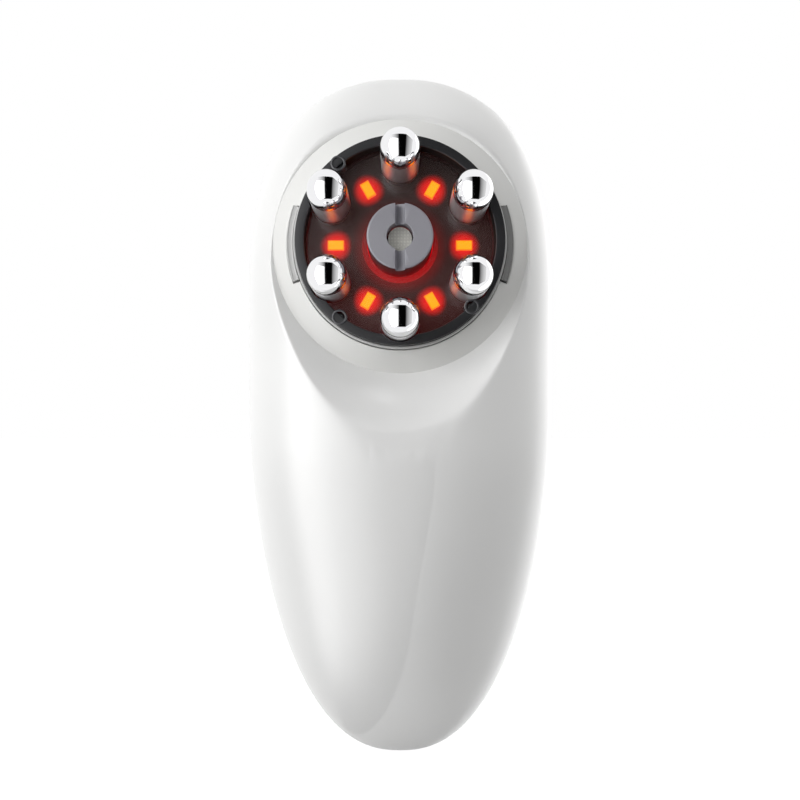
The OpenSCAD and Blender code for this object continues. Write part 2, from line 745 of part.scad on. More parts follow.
spigot_radius = spigot_diameter / 2;
spigot_length = 4;
air_radius = spigot_radius - 0.8;
filter_top = hub_top - filter_depth;
filter_low = filter_top - 1.2;
module suction_hub() {
    edge = 0.4;
    color("#8b8b90") at_head()
    difference() {
        union() {
            disc(hub_radius, lamp_board_top, hub_top - edge);
            translate([0, 0, hub_top - edge])
            cylinder(r1 = hub_radius, r2 = hub_radius - edge, h = edge);
            disc(neck_radius, tray_bottom, lamp_board_top + 0.1);
            disc(spigot_radius, tray_bottom - spigot_length, tray_bottom + 0.1);
        }
        disc(suction_diameter / 2, filter_top, hub_top + past);
        disc(suction_diameter / 2 - 0.2, filter_low, filter_top + 0.1);
        disc(air_radius, tray_bottom - spigot_length - past, filter_top);
        block([-hub_slot_width / 2, hub_slot_width / 2], [-hub_diameter, hub_diameter],
              hub_top - hub_slot_depth, hub_top + past);
    }
}
module hub_filter() {
    color("#86867e") at_head() disc(suction_diameter / 2 - 0.25, filter_low, filter_top);
}
module hub_gasket() {
    thickness = window_gap - 0.06;
    color("#c9c9c4") at_head()
    rotate_extrude()
    translate([hub_radius + thickness / 2 + 0.03, lamp_board_top + window_gap / 2])
    circle(d = thickness, $fn = 24);
}
module side_clip(angle) {
    color("#c4c4c4") at_head()
    sector(angle, clip_inner, clip_outer, clip_low, clip_high, clip_spread);
}
module head_tray() {
    ear_radius = 2.4;
    color("#2e2e31") at_head()
    difference() {
        union() {
            disc(bezel_radius, tray_bottom, window_bottom);
            disc(bore_radius - fit, tray_flange_top - 1.5, tray_flange_top);
            for (a = [45 : 90 : 315]) rotate([0, 0, a]) {
                block([bezel_radius - 1.5, tray_ear_circle], [-ear_radius, ear_radius],
                      tray_ear_top - tray_ear_thickness, tray_ear_top);
                translate([tray_ear_circle, 0, 0])
                disc(ear_radius, tray_ear_top - tray_ear_thickness, tray_ear_top);
            }
        }
        disc(board_radius - 3.2, tray_floor, window_bottom + past);
        disc(board_radius + fit, lamp_board_bottom, window_bottom + past);
        at_places(electrode_places) disc(nut_radius + 0.3, tray_floor, window_bottom + past);
        disc(neck_radius + fit, tray_bottom - past, window_bottom);
        at_places(tray_ears) disc(tray_screw_radius + fit, 0, tray_ear_top + past);
        at_places(bezel_screw_places)
            disc(bezel_screw_radius + bite, tray_floor, window_bottom);
    }
}
module tray_screws() {
    ear_bottom = tray_ear_top - tray_ear_thickness;
    color("#a9abae") at_head() at_places(tray_ears) {
        disc(tray_screw_radius, ear_bottom - 0.1, tray_ear_top + 1.6);
        disc(1.8, ear_bottom - 1.1, ear_bottom);
    }
}

// Control board and what stands on it
board_half = 17;
board_from = ring_at - 35;
board_to = ring_at + 17;
board_screw_places = [for (x = [-1, 1], along = [board_from + 3.5, board_to - 3.5])
                         [x * (board_half - 3), along]];
post_radius = 2;
module button_switches() {
    color("#c9c9c6") at_ring() for (a = button_angles)
    rotate([0, 0, a]) translate([switch_at, 0, 0])
    difference() {
        block([-switch_half, switch_half], [-switch_half, switch_half], board_back,
              board_back + switch_height);
        disc(plunger_radius + fit, board_back + 0.15, flange_low);
    }
}
module control_board() {
    color("#1f4a2c") back()
    difference() {
        rounded_block([-board_half, board_half], [board_from, board_to], board_front, board_back, 3);
        at_places(board_screw_places) disc(board_screw_diameter / 2 + fit, 0, back_crown);
    }
}
module board_lamps() {
    lamp_ring = (ring_inner + ring_outer) / 2;
    color("#f4efc8") {
        at_ring() for (a = [0 : 60 : 300])
            rotate([0, 0, a])
            block([lamp_ring - 0.6, lamp_ring + 0.6], [-0.9, 0.9], board_back,
                  board_back + ring_lamp_height);
        back() at_places(indicator_places)
            block([-0.8, 0.8], [-0.5, 0.5], board_back, board_back + ring_lamp_height);
    }
}
module board_chips() {
    low = board_front - 1;
    color("#202022") back() {
        translate([0, ring_at, 0]) {
            block([-3.5, 3.5], [-9, -2], low, board_front);
            block([-11, -6], [-21, -17], low, board_front);
            block([6, 12], [-23, -18], low + 0.3, board_front);
            block([-12, -8], [-3, 3], low - 0.4, board_front);
            block([5, 13], [0, 5], low - 0.6, board_front);
        }
    }
}
module board_screws() {
    color("#b9bbbe") back() at_places(board_screw_places) {
        disc(board_screw_diameter / 2, chassis_set_back + 0.5, board_back + 0.1);
        disc(board_screw_diameter, board_back, board_back + 1);
    }
}

// Chassis plate with its posts, and what it carries
charge_post = [0, 22];
module chassis() {
    inset = cover_inset + shell_wall + tongue_thickness + 0.6;
    color("#3b3c40") back()
    difference() {
        union() {
            intersection() {
                translate([0, 0, chassis_set_back])
                linear_extrude(chassis_thickness)
                polygon(outline(inset));
                block([-half_width, half_width], [chassis_from, chassis_to], 0, back_crown);
            }
            at_places(board_screw_places) disc(post_radius, chassis_back - 0.1, board_front);
            at_places([charge_post]) disc(post_radius, chassis_back - 0.1, socket_high);
        }
        at_places(board_screw_places)
            disc(board_screw_diameter / 2 + bite, chassis_set_back - past, board_back);
        at_places(chassis_screw_places)
            disc(chassis_screw_diameter / 2 + fit, 0, back_crown);
        for (from = [tail_screws_at + 3, ring_at - 17])
            rounded_block([-5, 5], [from, from + 6], 0, back_crown, 1.5);
    }
}
module chassis_screws() {
    color("#b9bbbe") back() at_places(chassis_screw_places) {
        disc(chassis_screw_diameter / 2, chassis_set_back - 0.1, chassis_set_back + 5.3);
        disc(chassis_screw_diameter * 0.95, chassis_set_back - 1.3, chassis_set_back);
    }
}
cell_radius = cell_diameter / 2;
cell_height = cell_radius + 0.4 - chassis_set_back;
module battery_cell() {
    color("#2f6fb0") upright(-twin_offset, cell_height, cell_from) {
        cylinder(r = cell_radius, h = cell_length - 0.8);
        translate([0, 0, cell_length - 0.9]) cylinder(r = 3, h = 0.9);
    }
}
module battery_cradle() {
    half = cell_radius + 0.3;
    color("#505258")
    difference() {
        front() block([-twin_offset - half, -twin_offset + half],
                      [cell_from + 3, cell_from + cell_length - 3], -chassis_set_back,
                      cell_height - 0.55 * cell_radius);
        upright(-twin_offset, cell_height, cell_from - past)
        cylinder(r = cell_radius + 0.05, h = cell_length + 2 * past);
    }
}
motor_radius = motor_diameter / 2;
pump_length = 15.5;
nozzle_from = head_at - bezel_radius - 2.3;
motor_to = nozzle_from - pump_length;
motor_from = motor_to - motor_length;
motor_height = motor_radius + 0.8 - chassis_set_back;
shaft_radius = 1;
module pump_motor() {
    color("#b4b7ba") upright(twin_offset, motor_height, motor_from)
    difference() {
        union() {
            cylinder(r = motor_radius, h = motor_length);
            translate([0, 0, motor_length - 0.1]) cylinder(r = 3, h = 1.3);
            translate([0, 0, -1.2]) cylinder(r = 2.5, h = 1.3);
        }
        translate([0, 0, motor_length - 6]) cylinder(r = shaft_radius + 0.06, h = 8);
    }
}
module pump_bracket() {
    half = motor_radius + 1.1;
    color("#505258")
    difference() {
        union() {
            front() block([twin_offset - half, twin_offset + half],
                          [motor_from + 6, motor_from + 16], -chassis_set_back,
                          motor_height - 0.5 * motor_radius);
            upright(twin_offset, motor_height, motor_from + 8) cylinder(r = half, h = 6);
        }
        upright(twin_offset, motor_height, motor_from)
        cylinder(r = motor_radius + 0.05, h = motor_length);
        front() block([0, body_width], [motor_from, motor_to], -back_crown, -chassis_set_back);
    }
}
chamber_length = 11.5;
eccentric_radius = 4;
module pump_head() {
    half = 8.2;
    color("#6d7076")
    difference() {
        union() {
            front() rounded_block([twin_offset - half, twin_offset + half],
                                  [motor_to, nozzle_from], -chassis_set_back,
                                  motor_height + half, 2);
            upright(twin_offset, motor_height, nozzle_from - 0.1)
            cylinder(r = spigot_radius, h = spigot_length + 0.1);
        }
        upright(twin_offset, motor_height, motor_to - past)
        cylinder(r = eccentric_radius + 2.6, h = chamber_length + past);
        upright(twin_offset, motor_height, motor_to)
        cylinder(r = air_radius, h = pump_length + spigot_length + past);
    }
}
module pump_rotor() {
    color("#d0b060") upright(twin_offset, motor_height, motor_to) {
        translate([0, 0, -5.5]) cylinder(r = shaft_radius, h = 16);
        translate([eccentric_throw, 0, 3.5]) cylinder(r = eccentric_radius, h = 5.5);
    }
}

// A round bar along a route of points, as rings that keep their twist
function unit(v) = v / norm(v);
function direction(route, i) =
    unit(route[min(i + 1, len(route) - 1)] - route[max(i - 1, 0)]);
function sides_along(route, i = 0, side = [1, 0, 0]) =
    let (d = direction(route, i),
         s = unit(side - (side * d) * d))
    i == len(route) - 1 ? [[s, cross(d, s)]]
                        : concat([[s, cross(d, s)]], sides_along(route, i + 1, s));
function bar_ring(middle, sides, radius, count) =
    [for (k = [0 : count - 1])
        let (p = polar(radius, 360 * k / count))
        middle + p[0] * sides[0] + p[1] * sides[1]];
function bar_rings(route, radius, count) =
    let (sides = sides_along(route))
    [for (i = [0 : len(route) - 1]) bar_ring(route[i], sides[i], radius, count)];

// Air tube: straight over each spigot, with one easy curve between them
tube_sides = 10;
tube_start = [0, head_at, tray_bottom - 0.3];
tube_finish = [twin_offset, nozzle_from + 0.3, motor_height];
tube_lead = spigot_length + 0.2;
tube_pull = [9, 11];
function mixed(a, b, t) = a + t * (b - a);
function curve_point(a, b, c, d, t) =
    let (e = mixed(a, b, t), f = mixed(b, c, t), g = mixed(c, d, t))
    mixed(mixed(e, f, t), mixed(f, g, t), t);
module air_tube() {
    inner = (spigot_radius + 0.06) / cos(180 / tube_sides);
    a = tube_start - [0, 0, tube_lead];
    d = tube_finish + [0, tube_lead, 0];
    steps = 14;
    curve = [for (i = [0 : steps])
                curve_point(a, a - [0, 0, tube_pull[0]], d + [0, tube_pull[1], 0], d, i / steps)];
    route = concat([tube_start], curve, [tube_finish]);
    outside = bar_rings(route, inner + tube_wall, tube_sides);
    inside = bar_rings(route, inner, tube_sides);
    color("#cfcfca", 0.8) front() wrapped(concat(turned_back(outside), inside));
}

// Vent valve: a coil body with a sprung plunger that draws in
valve_x = [-18, -8];
valve_along = [head_at - 19.4, head_at - 7.4];
valve_middle = (valve_x[0] + valve_x[1]) / 2;
valve_height = 5 - chassis_set_back;
valve_plunger_radius = 2;
valve_head_low = valve_along[1] + 3.2 + valve_travel;
module valve_body() {
    color("#74777c")
    difference() {
        front() rounded_block(valve_x, valve_along, -chassis_set_back, valve_height + 5, 1.5);
        upright(valve_middle, valve_height, valve_along[0] + 0.8)
        cylinder(r = valve_plunger_radius + 0.08, h = valve_along[1] - valve_along[0]);
    }
}
module valve_plunger() {
    from = valve_along[0] + 1.1 + valve_travel;
    color("#c5c7c9") {
        upright(valve_middle, valve_height, from)
        cylinder(r = valve_plunger_radius, h = valve_head_low - from + 0.1);
        upright(valve_middle, valve_height, valve_head_low) cylinder(r = 3.4, h = 1.5);
    }
}
module valve_spring() {
    wire = 0.5;
    turns = 3.5;
    steps = 42;
    end_gap = 0.05;
    rise = valve_head_low - valve_along[1] - wire - 2 * end_gap;
    route = [for (i = [0 : steps])
                let (p = polar(valve_plunger_radius + 0.55, 360 * turns * i / steps))
                [p[0], p[1], wire / 2 + end_gap + rise * i / steps]];
    half_turn = steps / turns / 2;
    gap = min([for (i = [0 : steps - half_turn]) for (j = [i + half_turn : steps])
               norm(route[i] - route[j])]) - wire;
    echo(least_gap_between_the_spring_turns = gap);
    color("#d5d6d8") upright(valve_middle, valve_height, valve_along[1])
    stacked(bar_rings(route, wire / 2, 6), route[0], route[steps]);
}

module charge_board() {
    color("#1f4a2c") back() block([-7, 7], [12, 27], socket_high, socket_high + 1);
}
module charge_socket() {
    wall = 0.35;
    tongue = [3.3, 0.35];
    color("#b5b8bb") {
        difference() {
            socket_shape(0, socket_from, socket_length);
            socket_shape(-wall, socket_from - past, socket_length);
        }
        back() translate([0, socket_from + 1.2, (socket_low + socket_high) / 2])
        block([-tongue[0], tongue[0]], [0, socket_length - 1.5], -tongue[1], tongue[1]);
    }
}

front_shell();
back_cover();
trim_band();
head_bezel();
bezel_screws();
head_lip_ring();
head_window();
suction_hub();
hub_filter();
hub_gasket();
side_clip(180);  // left_clip
side_clip(0);  // right_clip
lamp_board();
electrode_nuts();
head_tray();
tray_screws();
for (i = [1 : 6]) {
    electrode(i);
    red_lamp(i);
}
button(0);  // power_button
button(1);  // level_button
button(2);  // pulse_button
button_switches();
light_ring();
centre_cap();
color("#c8102a") indicator(0);  // indicator_1
color("#3a3a3c") indicator(1);  // indicator_2
control_board();
board_lamps();
board_chips();
board_screws();
chassis();
chassis_screws();
battery_cell();
battery_cradle();
pump_motor();
pump_bracket();
pump_head();
pump_rotor();
air_tube();
valve_body();
valve_plunger();
valve_spring();
charge_board();
charge_socket();
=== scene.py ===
import math

import bmesh
import bpy
import numpy as np
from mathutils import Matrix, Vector


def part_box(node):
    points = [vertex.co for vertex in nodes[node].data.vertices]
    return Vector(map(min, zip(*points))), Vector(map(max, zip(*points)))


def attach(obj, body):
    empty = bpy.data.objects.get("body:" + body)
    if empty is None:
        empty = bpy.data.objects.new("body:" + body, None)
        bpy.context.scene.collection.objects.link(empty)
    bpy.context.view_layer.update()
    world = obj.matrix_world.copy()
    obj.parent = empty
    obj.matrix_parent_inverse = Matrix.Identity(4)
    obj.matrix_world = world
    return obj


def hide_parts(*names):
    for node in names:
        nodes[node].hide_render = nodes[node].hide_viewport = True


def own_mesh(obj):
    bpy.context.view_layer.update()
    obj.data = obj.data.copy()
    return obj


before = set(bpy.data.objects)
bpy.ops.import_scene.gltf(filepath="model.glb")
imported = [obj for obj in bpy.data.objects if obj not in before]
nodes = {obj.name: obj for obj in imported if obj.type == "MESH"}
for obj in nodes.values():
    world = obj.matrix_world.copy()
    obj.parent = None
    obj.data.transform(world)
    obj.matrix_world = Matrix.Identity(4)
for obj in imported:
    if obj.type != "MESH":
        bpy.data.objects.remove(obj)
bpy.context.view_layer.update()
print("frame loaded")

# Sizes below are in millimetres: x across, z along the body, and a height in front of or behind
# the plane where the two shells meet.
seam = {"partingY": 8.4, "trimThickness": 1.4, "trimStep": 0.35, "trimInner": 3.2,
        "coverInset": 0.8, "gapInsets": (0.6, 0.83), "gapHeights": (1.35, 1.412)}


def frontPoints(x, along, height):
    return np.stack(np.broadcast_arrays(x, seam["partingY"] - height, along), axis=-1)


def backPoints(x, along, height):
    return np.stack(np.broadcast_arrays(-x, seam["partingY"] + height, along), axis=-1)


def finishMesh(name, vertices, faces, body="housing", slot=None, stands=(), sharpAngle=28,
               material=None):
    mesh = bpy.data.meshes.new(name)
    mesh.from_pydata((np.asarray(vertices) * 0.001).tolist(), [], faces)
    work = bmesh.new()
    work.from_mesh(mesh)
    bmesh.ops.remove_doubles(work, verts=work.verts, dist=2e-7)
    bmesh.ops.dissolve_degenerate(work, edges=work.edges, dist=1e-8)
    bmesh.ops.recalc_face_normals(work, faces=work.faces)
    work.to_mesh(mesh)
    work.free()
    piece = bpy.data.objects.new(name, mesh)
    bpy.context.scene.collection.objects.link(piece)
    shadeByAngle(piece, sharpAngle)
    if material:
        mesh.materials.append(material)
    if body:
        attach(piece, body)
    if stands:
        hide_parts(*stands)
    return piece


def shadeByAngle(piece, sharpAngle):
    mesh = piece.data
    mesh.polygons.foreach_set("use_smooth", [True] * len(mesh.polygons))
    mesh.set_sharp_from_angle(angle=math.radians(sharpAngle))
    if "evenNormals" not in piece.modifiers:
        even = piece.modifiers.new("evenNormals", "WEIGHTED_NORMAL")
        even.keep_sharp = True
    mesh.update()


def gridFaces(rows, columns, wrapRows, wrapColumns):
    i, j = np.meshgrid(np.arange(rows - (not wrapRows)), np.arange(columns - (not wrapColumns)),
                       indexing="ij")
    nextI, nextJ = (i + 1) % rows, (j + 1) % columns
    corners = [i * columns + j, i * columns + nextJ, nextI * columns + nextJ, nextI * columns + j]
    return np.stack(corners, axis=-1).reshape(-1, 4).tolist()


def gridPiece(name, points, wrapRows=True, wrapColumns=False, **more):
    rows, columns = points.shape[:2]
    return finishMesh(name, points.reshape(-1, 3), gridFaces(rows, columns, wrapRows, wrapColumns),
                      **more)


def barPiece(name, loops, **more):
    # Loops of points that are joined along the bar and closed at its two ends
    points = np.stack(loops)
    rows, columns = points.shape[:2]
    last = (rows - 1) * columns
    faces = gridFaces(rows, columns, False, True)
    faces += [list(range(columns)), list(range(last, last + columns))]
    return finishMesh(name, points.reshape(-1, 3), faces, **more)


def softened(profile, steps=4):
    # Each corner of a section is (across, height, fillet), and comes back as a short curve
    made = []
    for i, (x, y, fillet) in enumerate(profile):
        here = np.array([x, y], float)
        if not fillet:
            made.append(here)
            continue
        before = np.array(profile[i - 1][:2], float) - here
        after = np.array(profile[(i + 1) % len(profile)][:2], float) - here
        start = here + before / np.linalg.norm(before) * fillet
        end = here + after / np.linalg.norm(after) * fillet
        for t in np.linspace(0, 1, steps + 1):
            made.append((1 - t) ** 2 * start + 2 * t * (1 - t) * here + t * t * end)
    return np.array(made)


def turnedPiece(name, profile, centre, steps=128, closed=False, **more):
    # Turned about an axis that points out of the front, at centre = (x, along)
    section = softened(profile)
    turn = np.linspace(0, 2 * np.pi, steps, endpoint=False)[:, None]
    points = frontPoints(centre[0] + section[:, 0] * np.cos(turn),
                         centre[1] + section[:, 0] * np.sin(turn), section[:, 1])
    return gridPiece(name, points, wrapColumns=closed, **more)


def carve(piece, cutters):
    for cutter in cutters:
        tool = piece.modifiers.new("carve", "BOOLEAN")
        tool.operation = "DIFFERENCE"
        tool.solver = "EXACT"
        tool.object = cutter
    bpy.context.view_layer.update()
    carved = piece.evaluated_get(bpy.context.evaluated_depsgraph_get())
    mesh = bpy.data.meshes.new_from_object(carved)
    piece.modifiers.clear()
    old = piece.data
    piece.data = mesh
    bpy.data.meshes.remove(old)
    for cutter in cutters:
        bpy.data.objects.remove(cutter)
    return piece


def colour(hexValue):
    # sRGB hex to the linear values that the shaders take
    parts = [int(hexValue[i:i + 2], 16) / 255 for i in (1, 3, 5)]
    return tuple(p / 12.92 if p <= 0.04045 else ((p + 0.055) / 1.055) ** 2.4 for p in parts) + (1,)


def feed(tree, node, inputs):
    for key, value in inputs.items():
        if isinstance(value, bpy.types.NodeSocket):
            tree.links.new(value, node.inputs[key])
        else:
            node.inputs[key].default_value = value


def addNode(tree, kind, settings=None, inputs=None):
    node = tree.nodes.new("ShaderNode" + kind)
    for key, value in (settings or {}).items():
        setattr(node, key, value)
    feed(tree, node, inputs or {})
    return node


def startMaterial(name, base, roughness, ior=1.5, metallic=0.0):
    material = bpy.data.materials.new(name)
    material.use_nodes = True
    tree = material.node_tree
    shader = tree.nodes["Principled BSDF"]
    feed(tree, shader, {"Base Color": colour(base), "Roughness": roughness, "Metallic": metallic})
    if not metallic:
        shader.inputs["IOR"].default_value = ior
    return material, tree, shader


def addSkin(tree, shader, tones, broad, glossFrom, glossRange, relief):
    # A slow change of tone, an uneven gloss and a faint relief, given as (pattern, strength, mm)
    blend = addNode(tree, "Mix", {"data_type": "RGBA"},
                    {0: broad.outputs["Fac"], 6: colour(tones[0]), 7: colour(tones[1])})
    gloss = addNode(tree, "MapRange", None,
                    {"Value": glossFrom.outputs["Fac"], "To Min": glossRange[0],
                     "To Max": glossRange[1]})
    bump = addNode(tree, "Bump", None,
                   {"Height": relief[0].outputs["Fac"], "Strength": relief[1],
                    "Distance": relief[2] * 0.001})
    feed(tree, shader, {"Base Color": blend.outputs[2], "Roughness": gloss.outputs["Result"],
                        "Normal": bump.outputs["Normal"]})


def mouldedPlastic(name, base, tint, roughness, ior=1.53, grain=0.5, depth=0.004, spread=0.05):
    # Moulded resin or a baked coat: an even colour with a faint orange-peel skin, whose grain and
    # depth are in millimetres
    material, tree, shader = startMaterial(name, base, roughness, ior)
    place = addNode(tree, "TexCoord").outputs["Object"]
    broad = addNode(tree, "TexNoise", None,
                    {"Vector": place, "Scale": 60.0, "Detail": 2.0})    # patches about 17 mm wide
    skin = addNode(tree, "TexNoise", None, {"Vector": place, "Scale": 1000 / grain, "Detail": 2.0})
    addSkin(tree, shader, (base, tint), broad, broad, (roughness - spread, roughness + spread),
            (skin, 0.35, depth))
    return material


def plainMetal(name, base, tint, roughness, line=0.25, stretch=(1, 1, 12), depth=0.002):
    # Plated or drawn metal: fine lines left by the tool, line millimetres apart
    material, tree, shader = startMaterial(name, base, roughness, metallic=1.0)
    place = addNode(tree, "TexCoord").outputs["Object"]
    drawn = addNode(tree, "VectorMath", {"operation": "DIVIDE"}, {0: place, 1: stretch})
    lines = addNode(tree, "TexNoise", None,
                    {"Vector": drawn.outputs[0], "Scale": 1000 / line, "Detail": 3.0})
    broad = addNode(tree, "TexNoise", None,
                    {"Vector": place, "Scale": 90.0})    # patches about 11 mm wide
    addSkin(tree, shader, (base, tint), broad, lines, (roughness * 0.8, roughness * 1.3),
            (lines, 0.2, depth))
    return material


# Injection-moulded ABS, polished in the tool: the shells look wet and take broad, soft highlights
glossyAbs = mouldedPlastic("glossyWhiteAbs", "#ececeb", "#e7e7e6", 0.31, 1.68, 1.1, 0.003, 0.03)
buttonAbs = mouldedPlastic("glossyButtonAbs", "#edecea", "#e8e5e3", 0.26, 1.62, 0.9, 0.003, 0.03)
capAbs = mouldedPlastic("glossyCapAbs", "#f0efed", "#ebeae8", 0.24, 1.62, 1.0, 0.003, 0.03)
# The collar's faces take a drier satin finish, slightly darker than the shell
satinAbs = mouldedPlastic("satinWhiteAbs", "#e3e3e1", "#dededb", 0.42, grain=0.8, spread=0.04)
# Black ABS: the bezel keeps a soft shine; its inner wall is matt and painted near black as the
# shade in the head's recess
bezelAbs = mouldedPlastic("blackGlossAbs", "#2b2b2d", "#313133", 0.3, 1.3, 0.8, 0.003, 0.04)
bezelWallShade = mouldedPlastic("blackWallPaintedShade", "#070707", "#0a0a0a", 0.7, 1.3)
gapShadowPaint = mouldedPlastic("paintedGapShadow", "#4c4c4f", "#545457", 0.6, 1.3)    # a thin grey line of painted shadow in the gap at the trim
bossPaintedHighlight = mouldedPlastic("greyBossPaintedHighlight", "#3c3c3f", "#434346", 0.24, grain=0.5, depth=0.003,
                         spread=0.04)    # small rims round each screw, whose lighter grey is a painted highlight besides the light their fillets catch
screwBlack = mouldedPlastic("blackenedSteel", "#19191a", "#232324", 0.34, grain=0.2, depth=0.003,
                            spread=0.06)    # the black coat hides the metal and dulls it
hubAbs = mouldedPlastic("greyMouldedAbs", "#95949c", "#8e8d95", 0.36)    # satin, slightly cool
lipAbs = mouldedPlastic("paleRingAbs", "#d8d8d7", "#cfcfce", 0.24, grain=0.6, depth=0.003,
                        spread=0.04)    # a bright thin line round the bezel
clipLight = mouldedPlastic("paleClipAbs", "#c9c9c8", "#c0c0bf", 0.38)    # satin, a shade darker
# The same clip finish painted a darker grey for the right clip: painted shade
clipPaintedShade = mouldedPlastic("greyClipPaintedShade", "#8d8d8c", "#828281", 0.38)
# Bright chrome plate over ABS: a polished line that mirrors the studio
trimChrome = plainMetal("polishedChromePlate", "#a9aaae", "#9d9ea3", 0.12, 0.3, (1, 1, 6), 0.001)


def pinMaterial():
    # Bright chrome plate: a mirror on the dome, and a softer sheen at the foot of the shank
    material = plainMetal("mirrorChromePlate", "#f4f4f5", "#efeff1", 0.04, 0.5, (1, 1, 1), 0.0004)
    tree = material.node_tree
    shader = tree.nodes["Principled BSDF"]
    place = addNode(tree, "TexCoord").outputs["Object"]
    parts = addNode(tree, "SeparateXYZ", None, {0: place})
    shank = addNode(tree, "MapRange", None,
                    {"Value": parts.outputs["Y"], "From Min": -0.0215, "From Max": -0.0195,
                     "To Min": 0.04, "To Max": 0.38})
    feed(tree, shader, {"Roughness": shank.outputs["Result"]})
    return material


pinChrome = pinMaterial()
print("main materials made")

# The egg's widths, crowns and the powers of its curves, the round head and the fold round its
# scoop, and the flutes of the grip
bodyShape = {"length": 140, "width": 62.5, "widestAt": 75, "frontCrown": 22.8, "crownAt": 64,
             "backCrown": 16, "outlineTop": (2.0, 4.4), "outlineTail": (2.3, 2),
             "frontAcross": (2.15, 2.6, 3), "front": (3, 1.5), "back": (2.6, 2.6, 2.2)}
head = {"at": 103.4, "collarRadius": 24.5, "collarHeight": 16.8, "collarSlope": 0.6,
        "scoopReach": 15.1, "boreRadius": 20.25, "slotRadius": 21.65, "slotSpread": 20.6,
        "ledge": 17.45, "boreBottom": 15.0, "tongueInset": 2.6}
fold = {"soft": 0.3, "tipSoft": 0.5, "tipWidth": 10, "tipBelow": 80, "topSoft": 0.9,
        "topFrom": 108, "topTo": 126}
fluting = {"pitch": 3.0, "depth": 0.16, "count": 17, "start": 64, "startDip": 12, "startFade": 14,
           "end": 4, "endFade": 10, "sideFade": 6}


def halfAt(along, inset):
    up = along >= bodyShape["widestAt"]
    reach = np.where(up, bodyShape["length"] - bodyShape["widestAt"], bodyShape["widestAt"]) - inset
    t = np.clip(np.abs(along - bodyShape["widestAt"]) / reach, 0, 1)
    high, low = bodyShape["outlineTop"], bodyShape["outlineTail"]
    return (bodyShape["width"] / 2 - inset) * (1 - t ** np.where(up, high[1], low[1])) ** (
        1 / np.where(up, high[0], low[0]))


def outlinePoint(turn, inset):
    up = np.cos(turn) > 0
    high, low = bodyShape["outlineTop"], bodyShape["outlineTail"]
    across = np.abs(np.sin(turn)) ** (2 / np.where(up, high[0], low[0]))
    along = np.abs(np.cos(turn)) ** (2 / np.where(up, high[1], low[1]))
    reach = np.where(up, bodyShape["length"] - bodyShape["widestAt"] - inset,
                     inset - bodyShape["widestAt"])
    return (np.sign(np.sin(turn)) * (bodyShape["width"] / 2 - inset) * across,
            bodyShape["widestAt"] + reach * along)


def evenTurns(count):
    # Steps round the outline that lie at even distances along its edge
    fine = np.linspace(0, 2 * np.pi, 40001)
    x, along = outlinePoint(fine, 0)
    run = np.concatenate([[0], np.cumsum(np.hypot(np.diff(x), np.diff(along)))])
    return np.interp(np.linspace(0, run[-1], count, endpoint=False), run, fine)


def rounded(t, power):
    return (1 - np.clip(t, 0, 1) ** power) ** (1 / power)


def dome(x, along, inset, crown, peak, across, up, down):
    side = np.maximum(halfAt(along, inset), 1e-6)
    high = along >= peak
    t = np.where(high, (along - peak) / (bodyShape["length"] - inset - peak),
                 (peak - along) / (peak - inset))
    return crown * rounded(t, np.where(high, up, down)) * rounded(np.abs(x) / side, across)


def fade(start, end, value):
    t = np.clip((value - start) / (end - start), 0, 1)
    return t * t * (3 - 2 * t)


def egg(x, along):
    tail, middle, top = bodyShape["frontAcross"]
    across = (tail + (middle - tail) * fade(30, 67.5, along)
              + (top - middle) * fade(head["at"] - 21, head["at"], along))
    return dome(x, along, 0, bodyShape["frontCrown"], bodyShape["crownAt"], across,
                *bodyShape["front"])


def collarCut(x, along):
    out = np.hypot(x, along - head["at"]) - head["collarRadius"]
    climb = np.maximum(1 - out / head["scoopReach"], 0)
    scoop = (bodyShape["frontCrown"] - head["collarHeight"]) * (1 - climb * climb)
    return (head["collarHeight"] + np.where(out < 0, -head["collarSlope"] * out, scoop)
            + np.maximum(out - head["scoopReach"], 0))


def frontHeight(x, along):
    # The fold where the scoop meets the egg is soft, and softest at its two tips
    a, b = egg(x, along), collarCut(x, along)
    tip = fold["tipSoft"] * np.exp(-(x / fold["tipWidth"]) ** 2) * (along < fold["tipBelow"])
    soft = fold["soft"] + tip + fold["topSoft"] * fade(fold["topFrom"], fold["topTo"], along)
    return np.minimum(a, b) - np.maximum(soft - np.abs(a - b), 0) ** 2 / (4 * soft)


def flute(x, along):
    # Shallow hollows side by side, which fade out at their upper ends, at the tail and at the sides
    side = fluting["count"] * fluting["pitch"] / 2
    start = fluting["start"] - fluting["startDip"] * (x / side) ** 2
    place = x / fluting["pitch"] + 0.5
    part = 2 * (place - np.floor(place)) - 1
    across, down = bodyShape["outlineTail"]
    share = np.minimum(np.abs(x) / (bodyShape["width"] / 2), 1)
    end = bodyShape["widestAt"] * (1 - (1 - share ** across) ** (1 / down)) + fluting["end"]
    return (fluting["depth"] * (1 - part * part) * fade(start, start - fluting["startFade"], along)
            * fade(end, end + fluting["endFade"], along)
            * fade(side, side - fluting["sideFade"], np.abs(x)))


def backHeight(x, along, inset=0.0):
    rise = bodyShape["backCrown"] - seam["trimThickness"] - inset
    height = seam["trimThickness"] + dome(x, along, inset + seam["coverInset"], rise,
                                          bodyShape["widestAt"], *bodyShape["back"])
    return height if inset else height - flute(x, along)


def secondFinish(piece, material, chosen):
    # Chosen from a face's distance to the head's axis, its height and the way it faces
    piece.data.materials.append(material)
    for face in piece.data.polygons:
        x, y, z = face.center * 1000
        away, height = math.hypot(x, z - head["at"]), seam["partingY"] - y
        face.material_index = int(chosen(away, height, face.normal))


shellMesh = {"around": 900, "straightShare": 0.65, "foldFrom": 0.12, "innerRows": 33,
             "outerRows": 65, "collarParts": (0, 0.03, 0.08, 0.2, 0.35, 0.5, 0.65, 0.8, 0.92, 0.98),
             "collarDrops": (0.22, 0.06, 0, 0, 0, 0, 0, 0, 0, 0.02)}


